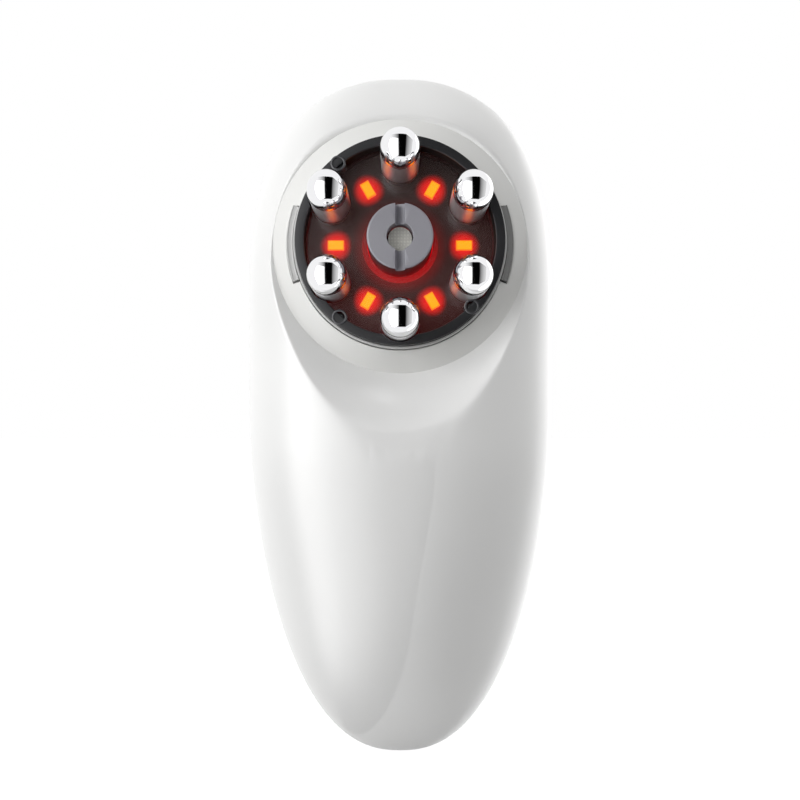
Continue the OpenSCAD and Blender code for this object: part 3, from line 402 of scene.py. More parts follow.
def frontShellPiece():
    # Rows run from the bore over the collar and the scoop to the body's edge. The fold is found
    # on each row, so that a line of the mesh lies in it.
    turn = evenTurns(shellMesh["around"])[:, None]
    edgeX, edgeAlong = outlinePoint(turn, 0)
    straight = np.arctan2(edgeX, edgeAlong - head["at"]) % (2 * np.pi)
    direct = shellMesh["straightShare"]
    angle = direct * straight + (1 - direct) * turn
    sine, cosine = np.sin(angle), np.cos(angle)
    startX, startAlong = head["collarRadius"] * sine, head["at"] + head["collarRadius"] * cosine

    def rayPoint(part):
        return startX + part * (edgeX - startX), startAlong + part * (edgeAlong - startAlong)

    low, high = np.full_like(turn, 0.02), np.full_like(turn, 0.98)
    for _ in range(16):    # halving
        middle = (low + high) / 2
        spot = rayPoint(middle)
        inside = egg(*spot) > collarCut(*spot)
        low, high = np.where(inside, middle, low), np.where(inside, high, middle)
    end = np.maximum(low, shellMesh["foldFrom"])
    u = np.linspace(0, 1, shellMesh["outerRows"])[1:]
    parts = np.concatenate([end * np.linspace(0, 1, shellMesh["innerRows"]) ** 1.15,
                            end + (1 - end) * (1 - (1 - u ** 1.4) ** 4)], axis=1)
    x, along = rayPoint(parts)
    shell = frontPoints(x, along, frontHeight(x, along))
    # The collar runs in to the bore, or to the wider slots that hold the two side clips
    nearSide = np.abs((np.degrees(angle) % 180) - 90) < head["slotSpread"]
    rim = np.where(nearSide, head["slotRadius"], head["boreRadius"])
    radius = rim + np.array(shellMesh["collarParts"]) * (head["collarRadius"] - rim)
    collar = frontPoints(radius * sine, head["at"] + radius * cosine,
                         head["collarHeight"] - np.array(shellMesh["collarDrops"])
                         + head["collarSlope"] * (head["collarRadius"] - radius))
    stepDown = frontPoints(rim * sine, head["at"] + rim * cosine, head["ledge"])
    bore = head["boreRadius"] * sine, head["at"] + head["boreRadius"] * cosine
    ledge, bottom = frontPoints(*bore, head["ledge"] - 0.01), frontPoints(*bore, head["boreBottom"])
    inner = frontPoints(*outlinePoint(turn, head["tongueInset"]), 0.0)
    points = np.concatenate([bottom, ledge, stepDown, collar, shell, inner], axis=1)
    piece = gridPiece("frontShell", points, slot="pearl_white_plastic", stands=["front_shell"],
                      material=glossyAbs, sharpAngle=26)
    secondFinish(piece, satinAbs, lambda away, height, facing: away < head["collarRadius"])


buttonShape = {"hollow": 11.15, "spread": 34.6, "lobe": 1.95, "corner": 5.2, "cornerAt": 12.9,
               "gap": 0.19, "proud": 0.3, "edge": 0.42, "foot": -3.0, "middle": 13.9,
               "angles": (270, 150, 30)}
ringShape = {"at": 101, "outer": 9.45, "inner": 7.85, "gap": 0.15, "foot": -2.4, "edge": 0.2,
             "capFoot": -2.0, "capEdge": 0.14}
dots = {"places": (76.7, 71.6), "radii": (0.32, 0.5), "gap": 0.05,
        "section": ((1, -2.0), (1, -0.07), (0.92, 0.0), (0.72, 0.04), (0.4, 0.06), (1e-5, 0.07))}


def polar(radius, degrees):
    return np.array([radius * math.cos(math.radians(degrees)),
                     radius * math.sin(math.radians(degrees))])


def arc(middle, radius, start, end, steps):
    return [middle + polar(radius, a) for a in np.linspace(start, end, steps)]


def buttonOutline(grow=0.0):
    # Two lobes, an outer corner and a side that is hollowed towards the light ring
    half = buttonShape["spread"] / 2
    lobe = polar(buttonShape["hollow"] + buttonShape["lobe"], half)
    corner = np.array([buttonShape["cornerAt"], 0.0])
    reach = corner - lobe
    lean = math.degrees(math.atan2(reach[1], reach[0])) + math.degrees(
        math.acos((buttonShape["lobe"] - buttonShape["corner"]) / np.linalg.norm(reach)))
    side = (arc(corner, buttonShape["corner"] + grow, 0, lean, 26)[1:]
            + arc(lobe, buttonShape["lobe"] + grow, lean, 180 + half, 30)
            + arc(np.zeros(2), buttonShape["hollow"] - grow, half * 0.96, 0, 16)[1:])
    lower = [np.array([p[0], -p[1]]) for p in side[-2::-1]]
    return np.array([corner + np.array([buttonShape["corner"] + grow, 0.0])] + side + lower)


def turnedAbout(loop, degrees):
    c, s = math.cos(math.radians(degrees)), math.sin(math.radians(degrees))
    return np.stack([loop[:, 0] * c - loop[:, 1] * s, loop[:, 0] * s + loop[:, 1] * c], axis=1)


def overCover(loop, lift):
    x, along = loop[:, 0], ringShape["at"] + loop[:, 1]
    return backPoints(x, along, backHeight(x, along) + lift)


def prism(name, loop, low=8, high=18):
    # A plain cutter on the back, drawn about the light ring's centre
    x, along = loop[:, 0], ringShape["at"] + loop[:, 1]
    middle = loop.mean(axis=0)
    ends = [backPoints(x, along, height) for height in (low, high)]
    caps = [backPoints(np.full_like(x, middle[0]), ringShape["at"] + middle[1], height)
            for height in (low, high)]
    return gridPiece(name, np.stack([caps[0], ends[0], ends[1], caps[1]]), wrapRows=False,
                     wrapColumns=True, body=None)


def circle(radius, steps, along=0.0):
    turn = np.linspace(0, 2 * np.pi, steps, endpoint=False)
    return np.stack([radius * np.cos(turn), along + radius * np.sin(turn)], axis=1)


coverMesh = {"perFlute": 8, "sideColumns": 33, "outerRows": 150, "innerRows": 24, "wall": 2.0}


def backCoverPiece():
    # Even columns of the mesh over the flutes, then columns that close up towards the edge
    side = bodyShape["width"] / 2 - seam["coverInset"]
    across, up, down = bodyShape["back"]
    half = (fluting["count"] + 1) / 2 * fluting["pitch"]
    inner = np.linspace(-half, half, (fluting["count"] + 1) * coverMesh["perFlute"] + 1)
    start = math.asin((half / side) ** (across / 2))
    u = np.linspace(0, 1, coverMesh["sideColumns"])[1:]
    outer = side * np.sin(start + (np.pi / 2 - start) * (1 - (1 - u) ** 1.5)) ** (2 / across)
    outer[-1] = side
    columns = np.concatenate([-outer[::-1], inner, outer])[:, None]

    def sheet(inset, steps):
        x = columns * (side - inset) / side
        edge = seam["coverInset"] + inset
        t = np.clip(np.abs(x) / (bodyShape["width"] / 2 - edge), 0, 1)
        high, low = bodyShape["outlineTop"], bodyShape["outlineTail"]
        topReach = (bodyShape["length"] - bodyShape["widestAt"] - edge) * (
            1 - t ** high[0]) ** (1 / high[1])
        tailReach = (bodyShape["widestAt"] - edge) * (1 - t ** low[0]) ** (1 / low[1])
        rise = np.sin(np.linspace(0, np.pi / 2, steps + 1)) ** (2 / up)
        fall = np.sin(np.linspace(0, np.pi / 2, steps + 1)) ** (2 / down)
        along = bodyShape["widestAt"] + np.concatenate(
            [topReach * rise[:0:-1], -tailReach * fall], axis=1)
        x = np.broadcast_to(x, along.shape)
        return backPoints(x, along, backHeight(x, along, inset))

    inside = sheet(coverMesh["wall"], coverMesh["innerRows"])
    points = np.concatenate([sheet(0.0, coverMesh["outerRows"]), inside[:, ::-1]], axis=1)
    cover = gridPiece("backCover", points, wrapRows=False, wrapColumns=True,
                      slot="pearl_white_plastic", stands=["back_cover"], material=glossyAbs)
    cutters = [prism("ringCutter", circle(ringShape["outer"] + ringShape["gap"], 160))]
    for degrees in buttonShape["angles"]:
        opening = turnedAbout(buttonOutline(buttonShape["gap"]), degrees)
        cutters.append(prism("buttonCutter", opening))
    for place, radius in zip(dots["places"], dots["radii"]):
        hole = circle(radius + dots["gap"], 32, place - ringShape["at"])
        cutters.append(prism("dotCutter", hole))
    carve(cover, cutters)
    shadeByAngle(cover, 24)


def trimPiece():
    turn = evenTurns(540)
    step, thickness, inner = seam["trimStep"], seam["trimThickness"], seam["trimInner"]
    section = softened([(step, -0.02, 0.25), (step, 0.02 - thickness, 0.25),
                        (inner, -thickness, 0), (inner, 0, 0)])
    points = np.stack([frontPoints(*outlinePoint(turn, inset), height)
                       for inset, height in section])
    gridPiece("trimBand", points, wrapColumns=True, slot="polished_chrome", stands=["trim_band"],
              material=trimChrome)


def trimSeamShadow():
    # A dark strip of painted shadow in the narrow gap between the plated band and the back cover
    turn = evenTurns(540)
    (outer, inner), (low, high) = seam["gapInsets"], seam["gapHeights"]
    rows = [backPoints(*outlinePoint(turn, inset), height)
            for inset, height in ((outer, low), (outer, high), (inner, high), (inner, low))]
    gridPiece("trimSeamShadow", np.stack(rows), wrapColumns=True, slot="black_plastic", material=gapShadowPaint)


frontShellPiece()
print("front shell made")
backCoverPiece()
trimPiece()
trimSeamShadow()
print("back cover and trim band made")


def capPiece(name, outlineAt, middle, degrees, low, lift, edge, **more):
    # From its foot inside the cover, up a rounded edge and in over a face that follows the cover
    rows = [overCover(turnedAbout(outlineAt(0.0), degrees), low)]
    for t in np.linspace(0, 1, 6):
        turn = t * math.pi / 2
        rows.append(overCover(turnedAbout(outlineAt(-edge * (1 - math.cos(turn))), degrees),
                              lift - edge + edge * math.sin(turn)))
    top = outlineAt(-edge)
    for share in (0.94, 0.85, 0.72, 0.58, 0.44, 0.3, 0.15, 0.0):
        rows.append(overCover(turnedAbout(middle + share * (top - middle), degrees), lift))
    gridPiece(name, np.stack(rows), wrapRows=False, wrapColumns=True, **more)


keys = (("powerButton", "power_button", "power_key"), ("levelButton", "level_button", "level_key"),
        ("pulseButton", "pulse_button", "pulse_key"))
for (name, node, body), degrees in zip(keys, buttonShape["angles"]):
    capPiece(name, buttonOutline, np.array([buttonShape["middle"], 0.0]), degrees,
             buttonShape["foot"], buttonShape["proud"], buttonShape["edge"], body=body,
             slot="button_white", stands=[node], material=buttonAbs)
capPiece("centreCap", lambda grow: circle(ringShape["inner"] - ringShape["gap"] + grow, 144),
         np.zeros(2), 0, ringShape["capFoot"], 0.0, ringShape["capEdge"], slot="button_white",
         stands=["centre_cap"], material=capAbs)

lightRing = {"core": "#ffa000", "edge": "#fff0c0", "strength": 0.97, "paintedGlowTint": "#f5a890",
             "paintedGlowShare": 0.75, "paintedGlowReach": (11.2, 11.9), "edgeHighlightFrom": (0.56, 0.78)}


def ringAway(tree):
    # Distance from the light ring's axis
    place = addNode(tree, "TexCoord").outputs["Object"]
    shifted = addNode(tree, "VectorMath", {"operation": "SUBTRACT"},
                      {0: place, 1: (0, 0, ringShape["at"] * 0.001)})
    flat = addNode(tree, "VectorMath", {"operation": "MULTIPLY"},
                   {0: shifted.outputs[0], 1: (1, 0, 1)})
    away = addNode(tree, "VectorMath", {"operation": "LENGTH"}, {0: flat.outputs[0]})
    return away.outputs["Value"]


def paintRingGlowTint(material):
    # The ring's light on the bevel of each button along its hollow side is painted as a pink tint
    # in the button's colour
    tree = material.node_tree
    shader = tree.nodes["Principled BSDF"]
    reach = lightRing["paintedGlowReach"]
    near = addNode(tree, "MapRange", {"interpolation_type": "SMOOTHSTEP"},
                   {"Value": ringAway(tree), "From Min": reach[0] * 0.001,
                    "From Max": reach[1] * 0.001, "To Min": lightRing["paintedGlowShare"],
                    "To Max": 0.0})
    plain = shader.inputs["Base Color"].links[0].from_socket
    tint = addNode(tree, "Mix", {"data_type": "RGBA"},
                   {0: near.outputs["Result"], 6: plain, 7: colour(lightRing["paintedGlowTint"])})
    feed(tree, shader, {"Base Color": tint.outputs[2]})


paintRingGlowTint(buttonAbs)


def ringMaterial():
    # Lit acrylic: warm orange inside, with a pale painted highlight along its two edges
    material, tree, shader = startMaterial("litAmberAcrylic", "#1a0e00", 0.5, 1.15)
    middle = (ringShape["outer"] + ringShape["inner"]) / 2000
    away = addNode(tree, "Math", {"operation": "SUBTRACT"}, {0: ringAway(tree), 1: middle})
    off = addNode(tree, "Math", {"operation": "ABSOLUTE"}, {0: away.outputs[0]})
    low, high = lightRing["edgeHighlightFrom"]
    edge = addNode(tree, "MapRange", {"interpolation_type": "SMOOTHSTEP"},
                   {"Value": off.outputs[0], "From Min": low * 0.001, "From Max": high * 0.001})
    tone = addNode(tree, "Mix", {"data_type": "RGBA"},
                   {0: edge.outputs["Result"], 6: colour(lightRing["core"]),
                    7: colour(lightRing["edge"])})
    feed(tree, shader, {"Emission Color": tone.outputs[2],
                        "Emission Strength": lightRing["strength"]})
    return material


def ringPiece():
    inner, outer, foot, edge = [ringShape[key] for key in ("inner", "outer", "foot", "edge")]
    section = softened([(inner, foot, 0), (outer, foot, 0), (outer, 0.0, edge), (inner, 0.0, edge)])
    rows = [overCover(circle(radius, 180), lift) for radius, lift in section]
    gridPiece("lightRing", np.stack(rows), wrapColumns=True, slot="amber_light",
              stands=["light_ring"], material=ringMaterial())


ringPiece()


def dotPiece(name, which, node, slot, material):
    along, radius = dots["places"][which] - ringShape["at"], dots["radii"][which]
    rows = [overCover(circle(share * radius, 32, along), lift) for share, lift in dots["section"]]
    gridPiece(name, np.stack(rows), wrapRows=False, wrapColumns=True, slot=slot, stands=[node],
              material=material)


def litLens(name, base, glow, strength):
    # Small moulded lens: clear skin over a coloured, lit core
    material, tree, shader = startMaterial(name, base, 0.2, 1.49)
    place = addNode(tree, "TexCoord").outputs["Object"]
    noise = addNode(tree, "TexNoise", None, {"Vector": place, "Scale": 1500.0})    # 0.7 mm
    tone = addNode(tree, "Mix", {"data_type": "RGBA"},
                   {0: noise.outputs["Fac"], 6: colour(glow), 7: colour(base)})
    feed(tree, shader, {"Emission Color": tone.outputs[2], "Emission Strength": strength})
    return material


redLens = litLens("litRedLens", "#6a1020", "#a81030", 0.6)
# Tinted acrylic with no light behind it: a glossy, nearly black point
darkLens = mouldedPlastic("darkLensAcrylic", "#1c1c1e", "#242426", 0.2, 1.53, 0.3, 0.002, 0.03)
dotPiece("upperDot", 0, "indicator_1", "indicator_red", redLens)
dotPiece("lowerDot", 1, "indicator_2", "indicator_dark", darkLens)

# Pad-printed ink: thin, even and drier than the gloss under it
printInk = mouldedPlastic("greyPadPrint", "#8c8c90", "#949498", 0.45, 1.53, 0.2, 0.001)
signs = {"stroke": 0.3, "lift": 0.006, "reach": 14.2,
         "power": {"centre": 86.6, "radius": 2.3, "gapHalf": 40, "bar": (86.1, 89.2)},
         "level": [[(1.4 * i, -1.3), (1.4 * i, 0.2 + 0.8 * i)] for i in (-1, 0, 1)],
         "pulse": [[(u, 1.3 * math.sin(2.9 * u) * math.exp(-(u / 1.25) ** 2))
                    for u in np.linspace(-2.5, 2.5, 60)]]}


def ribbon(name, line, body):
    # A printed line that lies on a button
    direction = np.gradient(line, axis=0)
    direction /= np.linalg.norm(direction, axis=1)[:, None]
    normal = np.stack([-direction[:, 1], direction[:, 0]], axis=1) * signs["stroke"] / 2
    lift = buttonShape["proud"] + signs["lift"]
    rows = []
    for side in (-1, 1):
        p = line + side * normal
        rows.append(backPoints(p[:, 0], p[:, 1], backHeight(p[:, 0], p[:, 1]) + lift))
    gridPiece(name, np.stack(rows), wrapRows=False, body=body, material=printInk)


def powerMark():
    sign = signs["power"]
    turn = np.radians(np.linspace(90 + sign["gapHalf"], 450 - sign["gapHalf"], 60))
    loop = np.stack([sign["radius"] * np.cos(turn),
                     sign["centre"] + sign["radius"] * np.sin(turn)], axis=1)
    ribbon("powerMarkArc", loop, "power_key")
    bar = np.stack([np.zeros(12), np.linspace(*sign["bar"], 12)], axis=1)
    ribbon("powerMarkBar", bar, "power_key")


def buttonSign(name, lines, degrees, body):
    # Drawn across the button, with its top towards the outer corner
    out, along = polar(1, degrees), -polar(1, degrees + 90)
    for number, line in enumerate(lines):
        corners = np.array([signs["reach"] * out + u * along + v * out for u, v in line])
        if len(corners) == 2:
            corners = np.linspace(corners[0], corners[1], 9)
        ribbon(f"{name}{number + 1}", corners + np.array([0.0, ringShape["at"]]), body)


powerMark()
buttonSign("levelMark", signs["level"], buttonShape["angles"][1], "level_key")
buttonSign("pulseMark", signs["pulse"], buttonShape["angles"][2], "pulse_key")
print("buttons, ring and dots made")

# Heights in the treatment head are in front of the parting plane
bezel = {"radius": 19.6, "width": 1.75, "bottom": 17.0, "wallBottom": 19.85, "top": 23.0,
         "outerEdge": ((0, 0.14), (0.03, 0.04), (0.12, 0)),
         "innerEdge": ((0.16, 0), (0.05, 0.07), (0, 0.22)),
         "pinCircle": 15.1, "pinGap": 3.85, "faceFrom": 22.8, "thinnest": 0.15}
boss = {"inset": 1.35, "angles": (129, 232, 317), "outer": 1.45, "inner": 1.0, "top": 23.2,
        "bottom": 19.8, "innerBottom": 21.7}
screw = {"radius": 0.92, "crown": 0.7, "top": 22.35, "shoulder": 22.1, "bottom": 20.0,
         "slotHalf": (0.55, 0.1)}
lipRing = {"inner": 19.66, "outer": 20.1, "bottom": 17.0, "top": 21.0, "edge": 0.15}


def bezelPiece():
    # A plain ring, whose inner wall gives way to a round pocket at each of the six pins
    turn = np.linspace(0, 2 * np.pi, 1440, endpoint=False)
    inner = np.full_like(turn, bezel["radius"] - bezel["width"])
    for i in range(6):
        away = np.abs((turn - math.radians(60 * i + 30) + np.pi) % (2 * np.pi) - np.pi)
        inside = bezel["pinGap"] ** 2 - (bezel["pinCircle"] * np.sin(away)) ** 2
        near = (inside > 0) & (away < 1)
        reach = bezel["pinCircle"] * np.cos(away) + np.sqrt(np.maximum(inside, 0))
        inner = np.where(near, np.maximum(inner, reach), inner)
    outer, top = bezel["radius"], bezel["top"]
    thinnest = outer - bezel["thinnest"]
    rings = [(outer, bezel["bottom"])]
    rings += [(outer - step, top - drop) for step, drop in bezel["outerEdge"]]
    rings += [(np.minimum(inner + step, thinnest), top - drop)
              for step, drop in bezel["innerEdge"]]
    rings.append((np.minimum(inner, thinnest), bezel["wallBottom"]))
    rows = [frontPoints(radius * np.cos(turn), head["at"] + radius * np.sin(turn), height)
            for radius, height in rings]
    piece = gridPiece("headBezel", np.stack(rows), wrapRows=False, wrapColumns=True,
                      slot="black_plastic", stands=["head_bezel"], material=bezelAbs)
    # The inner wall and the pin pockets take the near-black finish: painted shade in the recess
    secondFinish(piece, bezelWallShade, lambda away, height, facing:
                 away < outer - 0.1 and height < bezel["faceFrom"])


def headScrew(number, degrees):
    place = polar(bezel["radius"] - boss["inset"], degrees)
    centre = (place[0], head["at"] + place[1])
    turnedPiece(f"screwBoss{number}",
                [(boss["inner"], boss["innerBottom"], 0), (boss["inner"], boss["top"], 0.12),
                 (boss["outer"], boss["top"], 0.2), (boss["outer"], boss["bottom"], 0)],
                centre, 48, slot="black_plastic", material=bossPaintedHighlight)
    piece = turnedPiece(f"screwHead{number}",
                        [(0.0, screw["top"], 0), (screw["crown"], screw["top"], 0.1),
                         (screw["radius"], screw["shoulder"], 0.1),
                         (screw["radius"], screw["bottom"], 0), (0.0, screw["bottom"], 0)],
                        centre, 48, slot="black_screw", material=screwBlack)
    bars = []
    for long, short in (screw["slotHalf"], screw["slotHalf"][::-1]):
        x = centre[0] + np.array([-long, long, long, -long])
        along = centre[1] + np.array([-short, -short, short, short])
        bars.append(barPiece("crossSlotCutter", [frontPoints(x, along, height) for height in
                                                 (screw["shoulder"], bezel["top"])], body=None))
    carve(piece, bars)
    shadeByAngle(piece, 30)
    return piece


bezelPiece()
headScrews = [headScrew(i + 1, degrees) for i, degrees in enumerate(boss["angles"])]
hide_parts("bezel_screws")
turnedPiece("headLipRing",
            [(lipRing["inner"], lipRing["bottom"], 0),
             (lipRing["inner"], lipRing["top"], lipRing["edge"]),
             (lipRing["outer"], lipRing["top"], lipRing["edge"]),
             (lipRing["outer"], lipRing["bottom"], 0)],
            (0, head["at"]), 240, slot="satin_lip", stands=["head_lip_ring"], material=lipAbs)

hub = {"radius": 6.1, "top": 26.6, "bottom": 17.1, "hole": 2.45, "holeBottom": 22.75,
       "skirt": 4.5, "edge": 0.4, "slotWidth": 1.75, "slotDepth": (1.9, 1.2), "slotHalfLength": 8,
       "slotChamfers": ((0.3, 0.2), (0.1, 0.1)), "bevel": 0.1}


def hubPiece():
    piece = turnedPiece("suctionHub",
                        [(hub["radius"], hub["bottom"], 0),
                         (hub["radius"], hub["top"], hub["edge"]),
                         (hub["hole"], hub["top"], 0.1), (hub["hole"], hub["holeBottom"], 0),
                         (hub["skirt"], hub["bottom"], 0)],
                        (0, head["at"]), 160, closed=True, slot="hub_grey",
                        stands=["suction_hub"], material=hubAbs)
    # The slot across the hub is deeper on one side, and its floor slopes
    half, low = hub["slotWidth"] / 2, hub["top"] - np.array(hub["slotDepth"])
    above = hub["top"] + 1
    (wide, wideRise), (narrow, narrowRise) = hub["slotChamfers"]
    across = np.array([half, -half, -half, -half + wide, half - narrow, half])
    height = np.array([above, above, low[0] + wideRise, low[0], low[1], low[1] + narrowRise])
    ends = [frontPoints(across, head["at"] + way * hub["slotHalfLength"], height)
            for way in (-1, 1)]
    carve(piece, [barPiece("hubSlotCutter", ends, body=None)])
    edge = piece.modifiers.new("edge", "BEVEL")
    edge.width = hub["bevel"] * 0.001
    edge.segments = 2
    edge.limit_method = "ANGLE"
    edge.angle_limit = math.radians(50)
    shadeByAngle(piece, 35)
    # Painted shade: the hub's side wall takes the black bezel finish, darker than its grey face
    secondFinish(piece, bezelAbs, lambda away, height, facing:
                 away > hub["radius"] - 0.06 and abs(facing.y) < 0.3)


hubPiece()


def filterMaterial():
    # Woven filter cloth: pale threads, drawn 0.6 mm apart so that they just show
    material, tree, shader = startMaterial("wovenFilterCloth", "#dcdbd2", 0.8)
    place = addNode(tree, "TexCoord").outputs["Object"]
    spacing = 0.6
    threads = [addNode(tree, "TexWave", {"bands_direction": direction},
                       {"Vector": place, "Scale": 2 * math.pi / 20 * 1000 / spacing,
                        "Distortion": 0.4}) for direction in ("X", "Z")]
    both = addNode(tree, "Math", {"operation": "MULTIPLY"},
                   {0: threads[0].outputs["Fac"], 1: threads[1].outputs["Fac"]})
    tone = addNode(tree, "Mix", {"data_type": "RGBA"},
                   {0: both.outputs[0], 6: colour("#d2d1c8"), 7: colour("#eae9e0")})
    bump = addNode(tree, "Bump", None, {"Height": both.outputs[0], "Distance": 0.00005})
    feed(tree, shader, {"Base Color": tone.outputs[2], "Normal": bump.outputs["Normal"]})
    return material


# The lamps' own light, and the red glow painted round them on the board and the gasket
lampsAndPaintedGlow = {"circle": 12.3, "core": "#ffa800", "edge": "#ff6a10", "strength": 3.6,
            "lensHalf": (1.55, 0.9), "paintedHalo": "#ff0600", "paintedHaloStrength": 2.5,
            "paintedHaloReach": (0.9, 3.6), "paintedGlowHeights": (-12, 14), "paintedHubGlowReach": (6.6, 9.8),
            "gasketGlowPaint": "#ff0814", "gasketGlowPaintHeights": (-6.6, 7)}


def lampField(tree):
    # Distance from the nearest of the six lamps: out from the hub, and across that line
    place = addNode(tree, "TexCoord").outputs["Object"]
    parts = addNode(tree, "SeparateXYZ", None, {0: place})
    up = addNode(tree, "Math", {"operation": "SUBTRACT"},
                 {0: parts.outputs["Z"], 1: head["at"] * 0.001})
    flat = addNode(tree, "CombineXYZ", None, {"X": parts.outputs["X"], "Z": up.outputs[0]})
    radius = addNode(tree, "VectorMath", {"operation": "LENGTH"}, {0: flat.outputs[0]})
    angle = addNode(tree, "Math", {"operation": "ARCTAN2"},
                    {0: up.outputs[0], 1: parts.outputs["X"]})
    folded = addNode(tree, "Math", {"operation": "PINGPONG"},
                     {0: angle.outputs[0], 1: math.radians(30)})
    across = addNode(tree, "Math", {"operation": "MULTIPLY"},
                     {0: folded.outputs[0], 1: radius.outputs["Value"]})
    out = addNode(tree, "Math", {"operation": "SUBTRACT"},
                  {0: radius.outputs["Value"], 1: lampsAndPaintedGlow["circle"] * 0.001})
    return out.outputs[0], across.outputs[0], up.outputs[0], radius.outputs["Value"]


def lampMaterial():
    # Lit lamp lens of clear epoxy: yellow at the middle and orange-red at its rim
    material, tree, shader = startMaterial("litLampLens", "#ff6020", 0.3, 1.49)
    out, across, _, _ = lampField(tree)
    long, wide = lampsAndPaintedGlow["lensHalf"]
    far = addNode(tree, "Math", {"operation": "DIVIDE"}, {0: out, 1: long * 0.001})
    side = addNode(tree, "Math", {"operation": "DIVIDE"}, {0: across, 1: wide * 0.001})
    farSide = addNode(tree, "Math", {"operation": "ABSOLUTE"}, {0: far.outputs[0]})
    most = addNode(tree, "Math", {"operation": "MAXIMUM"},
                   {0: farSide.outputs[0], 1: side.outputs[0]})
    rim = addNode(tree, "MapRange", {"interpolation_type": "SMOOTHSTEP"},
                  {"Value": most.outputs[0], "From Min": 0.8, "From Max": 1.0})
    tone = addNode(tree, "Mix", {"data_type": "RGBA"},
                   {0: rim.outputs["Result"], 6: colour(lampsAndPaintedGlow["core"]),
                    7: colour(lampsAndPaintedGlow["edge"])})
    feed(tree, shader, {"Emission Color": tone.outputs[2],
                        "Emission Strength": lampsAndPaintedGlow["strength"]})
    return material


def lampBoardMaterial():
    # Dark solder mask with the lamps' red light painted on it as a glowing halo round each lamp and
    # near the hub, most of it low on the head
    material, tree, shader = startMaterial("solderMaskPaintedGlow", "#2a1d1a", 0.5)
    out, across, up, radius = lampField(tree)
    reach = addNode(tree, "CombineXYZ", None, {"X": out, "Y": across})
    away = addNode(tree, "VectorMath", {"operation": "LENGTH"}, {0: reach.outputs[0]})
    near, far = lampsAndPaintedGlow["paintedHaloReach"]
    paintedHalo = addNode(tree, "MapRange", {"interpolation_type": "SMOOTHERSTEP"},
                   {"Value": away.outputs["Value"], "From Min": near * 0.001,
                    "From Max": far * 0.001, "To Min": 1.0, "To Max": 0.0})
    bottom, top = lampsAndPaintedGlow["paintedGlowHeights"]
    low = addNode(tree, "MapRange", None,
                  {"Value": up, "From Min": bottom * 0.001, "From Max": top * 0.001,
                   "To Min": 1.0, "To Max": 0.1})
    near, far = lampsAndPaintedGlow["paintedHubGlowReach"]
    hubSide = addNode(tree, "MapRange", {"interpolation_type": "SMOOTHSTEP"},
                      {"Value": radius, "From Min": near * 0.001, "From Max": far * 0.001,
                       "To Min": 0.22, "To Max": 0.03})
    light = addNode(tree, "Math", {"operation": "MULTIPLY"},
                    {0: hubSide.outputs["Result"], 1: low.outputs["Result"]})
    most = addNode(tree, "Math", {"operation": "MAXIMUM"},
                   {0: paintedHalo.outputs["Result"], 1: light.outputs[0]})
    strength = addNode(tree, "Math", {"operation": "MULTIPLY"},
                       {0: most.outputs[0], 1: lampsAndPaintedGlow["paintedHaloStrength"]})
    grain = addNode(tree, "TexNoise", None, {"Scale": 1800.0})    # about 0.6 mm
    bump = addNode(tree, "Bump", None, {"Height": grain.outputs["Fac"], "Distance": 0.00001})
    feed(tree, shader, {"Emission Color": colour(lampsAndPaintedGlow["paintedHalo"]),
                        "Emission Strength": strength.outputs[0],
                        "Normal": bump.outputs["Normal"]})
    return material


def gasketMaterial():
    # Soft clear silicone under the lamps, with their red light painted on it as a glow, most of it
    # low on the head
    material, tree, shader = startMaterial("siliconePaintedGlow", "#4a0d10", 0.35, 1.41)
    _, _, up, radius = lampField(tree)
    bottom, top = lampsAndPaintedGlow["gasketGlowPaintHeights"]
    low = addNode(tree, "MapRange", {"interpolation_type": "SMOOTHSTEP"},
                  {"Value": up, "From Min": bottom * 0.001, "From Max": top * 0.001,
                   "To Min": 1.1, "To Max": 0.12})
    feed(tree, shader, {"Emission Color": colour(lampsAndPaintedGlow["gasketGlowPaint"]),
                        "Emission Strength": low.outputs["Result"]})
    return material


def smokedMaterial():
    # Smoked acrylic: dark and glossy, and clear enough for the lamps behind it
    material, tree, shader = startMaterial("smokedAcrylic", "#4f4644", 0.12, 1.49)
    place = addNode(tree, "TexCoord").outputs["Object"]
    haze = addNode(tree, "TexNoise", None, {"Vector": place, "Scale": 300.0})    # 3 mm
    gloss = addNode(tree, "MapRange", None,
                    {"Value": haze.outputs["Fac"], "To Min": 0.08, "To Max": 0.16})
    feed(tree, shader, {"Roughness": gloss.outputs["Result"], "Alpha": 0.45})
    return material


pin = {"radius": 3.6, "bottom": 17.1, "centre": 29.5, "circle": 15.1, "stud": 1.2,
       "studLength": 3}
clip = {"spread": 19.6, "inner": 20.3, "outer": 21.5, "bottom": 17.5, "top": 19.9, "border": 0.2,
        "sink": 0.1, "edge": 0.12, "step": 0.05}


def electrodePiece(number):
    # A domed post on a thin stud, which goes through the tray to its nut
    place = polar(pin["circle"], 90 - 60 * (number - 1))
    foot = pin["bottom"] - pin["studLength"]
    profile = [(0.0, foot, 0), (pin["stud"], foot, 0), (pin["stud"], pin["bottom"], 0),
               (pin["radius"], pin["bottom"], 0)]
    profile += [(pin["radius"] * math.cos(t), pin["centre"] + pin["radius"] * math.sin(t), 0)
                for t in np.linspace(0, np.pi / 2, 40)]
    turnedPiece(f"electrode{number}", profile, (place[0], head["at"] + place[1]), 96,
                slot="electrode_chrome", stands=[f"electrode_{number}"], material=pinChrome)


for number in range(1, 7):
    electrodePiece(number)


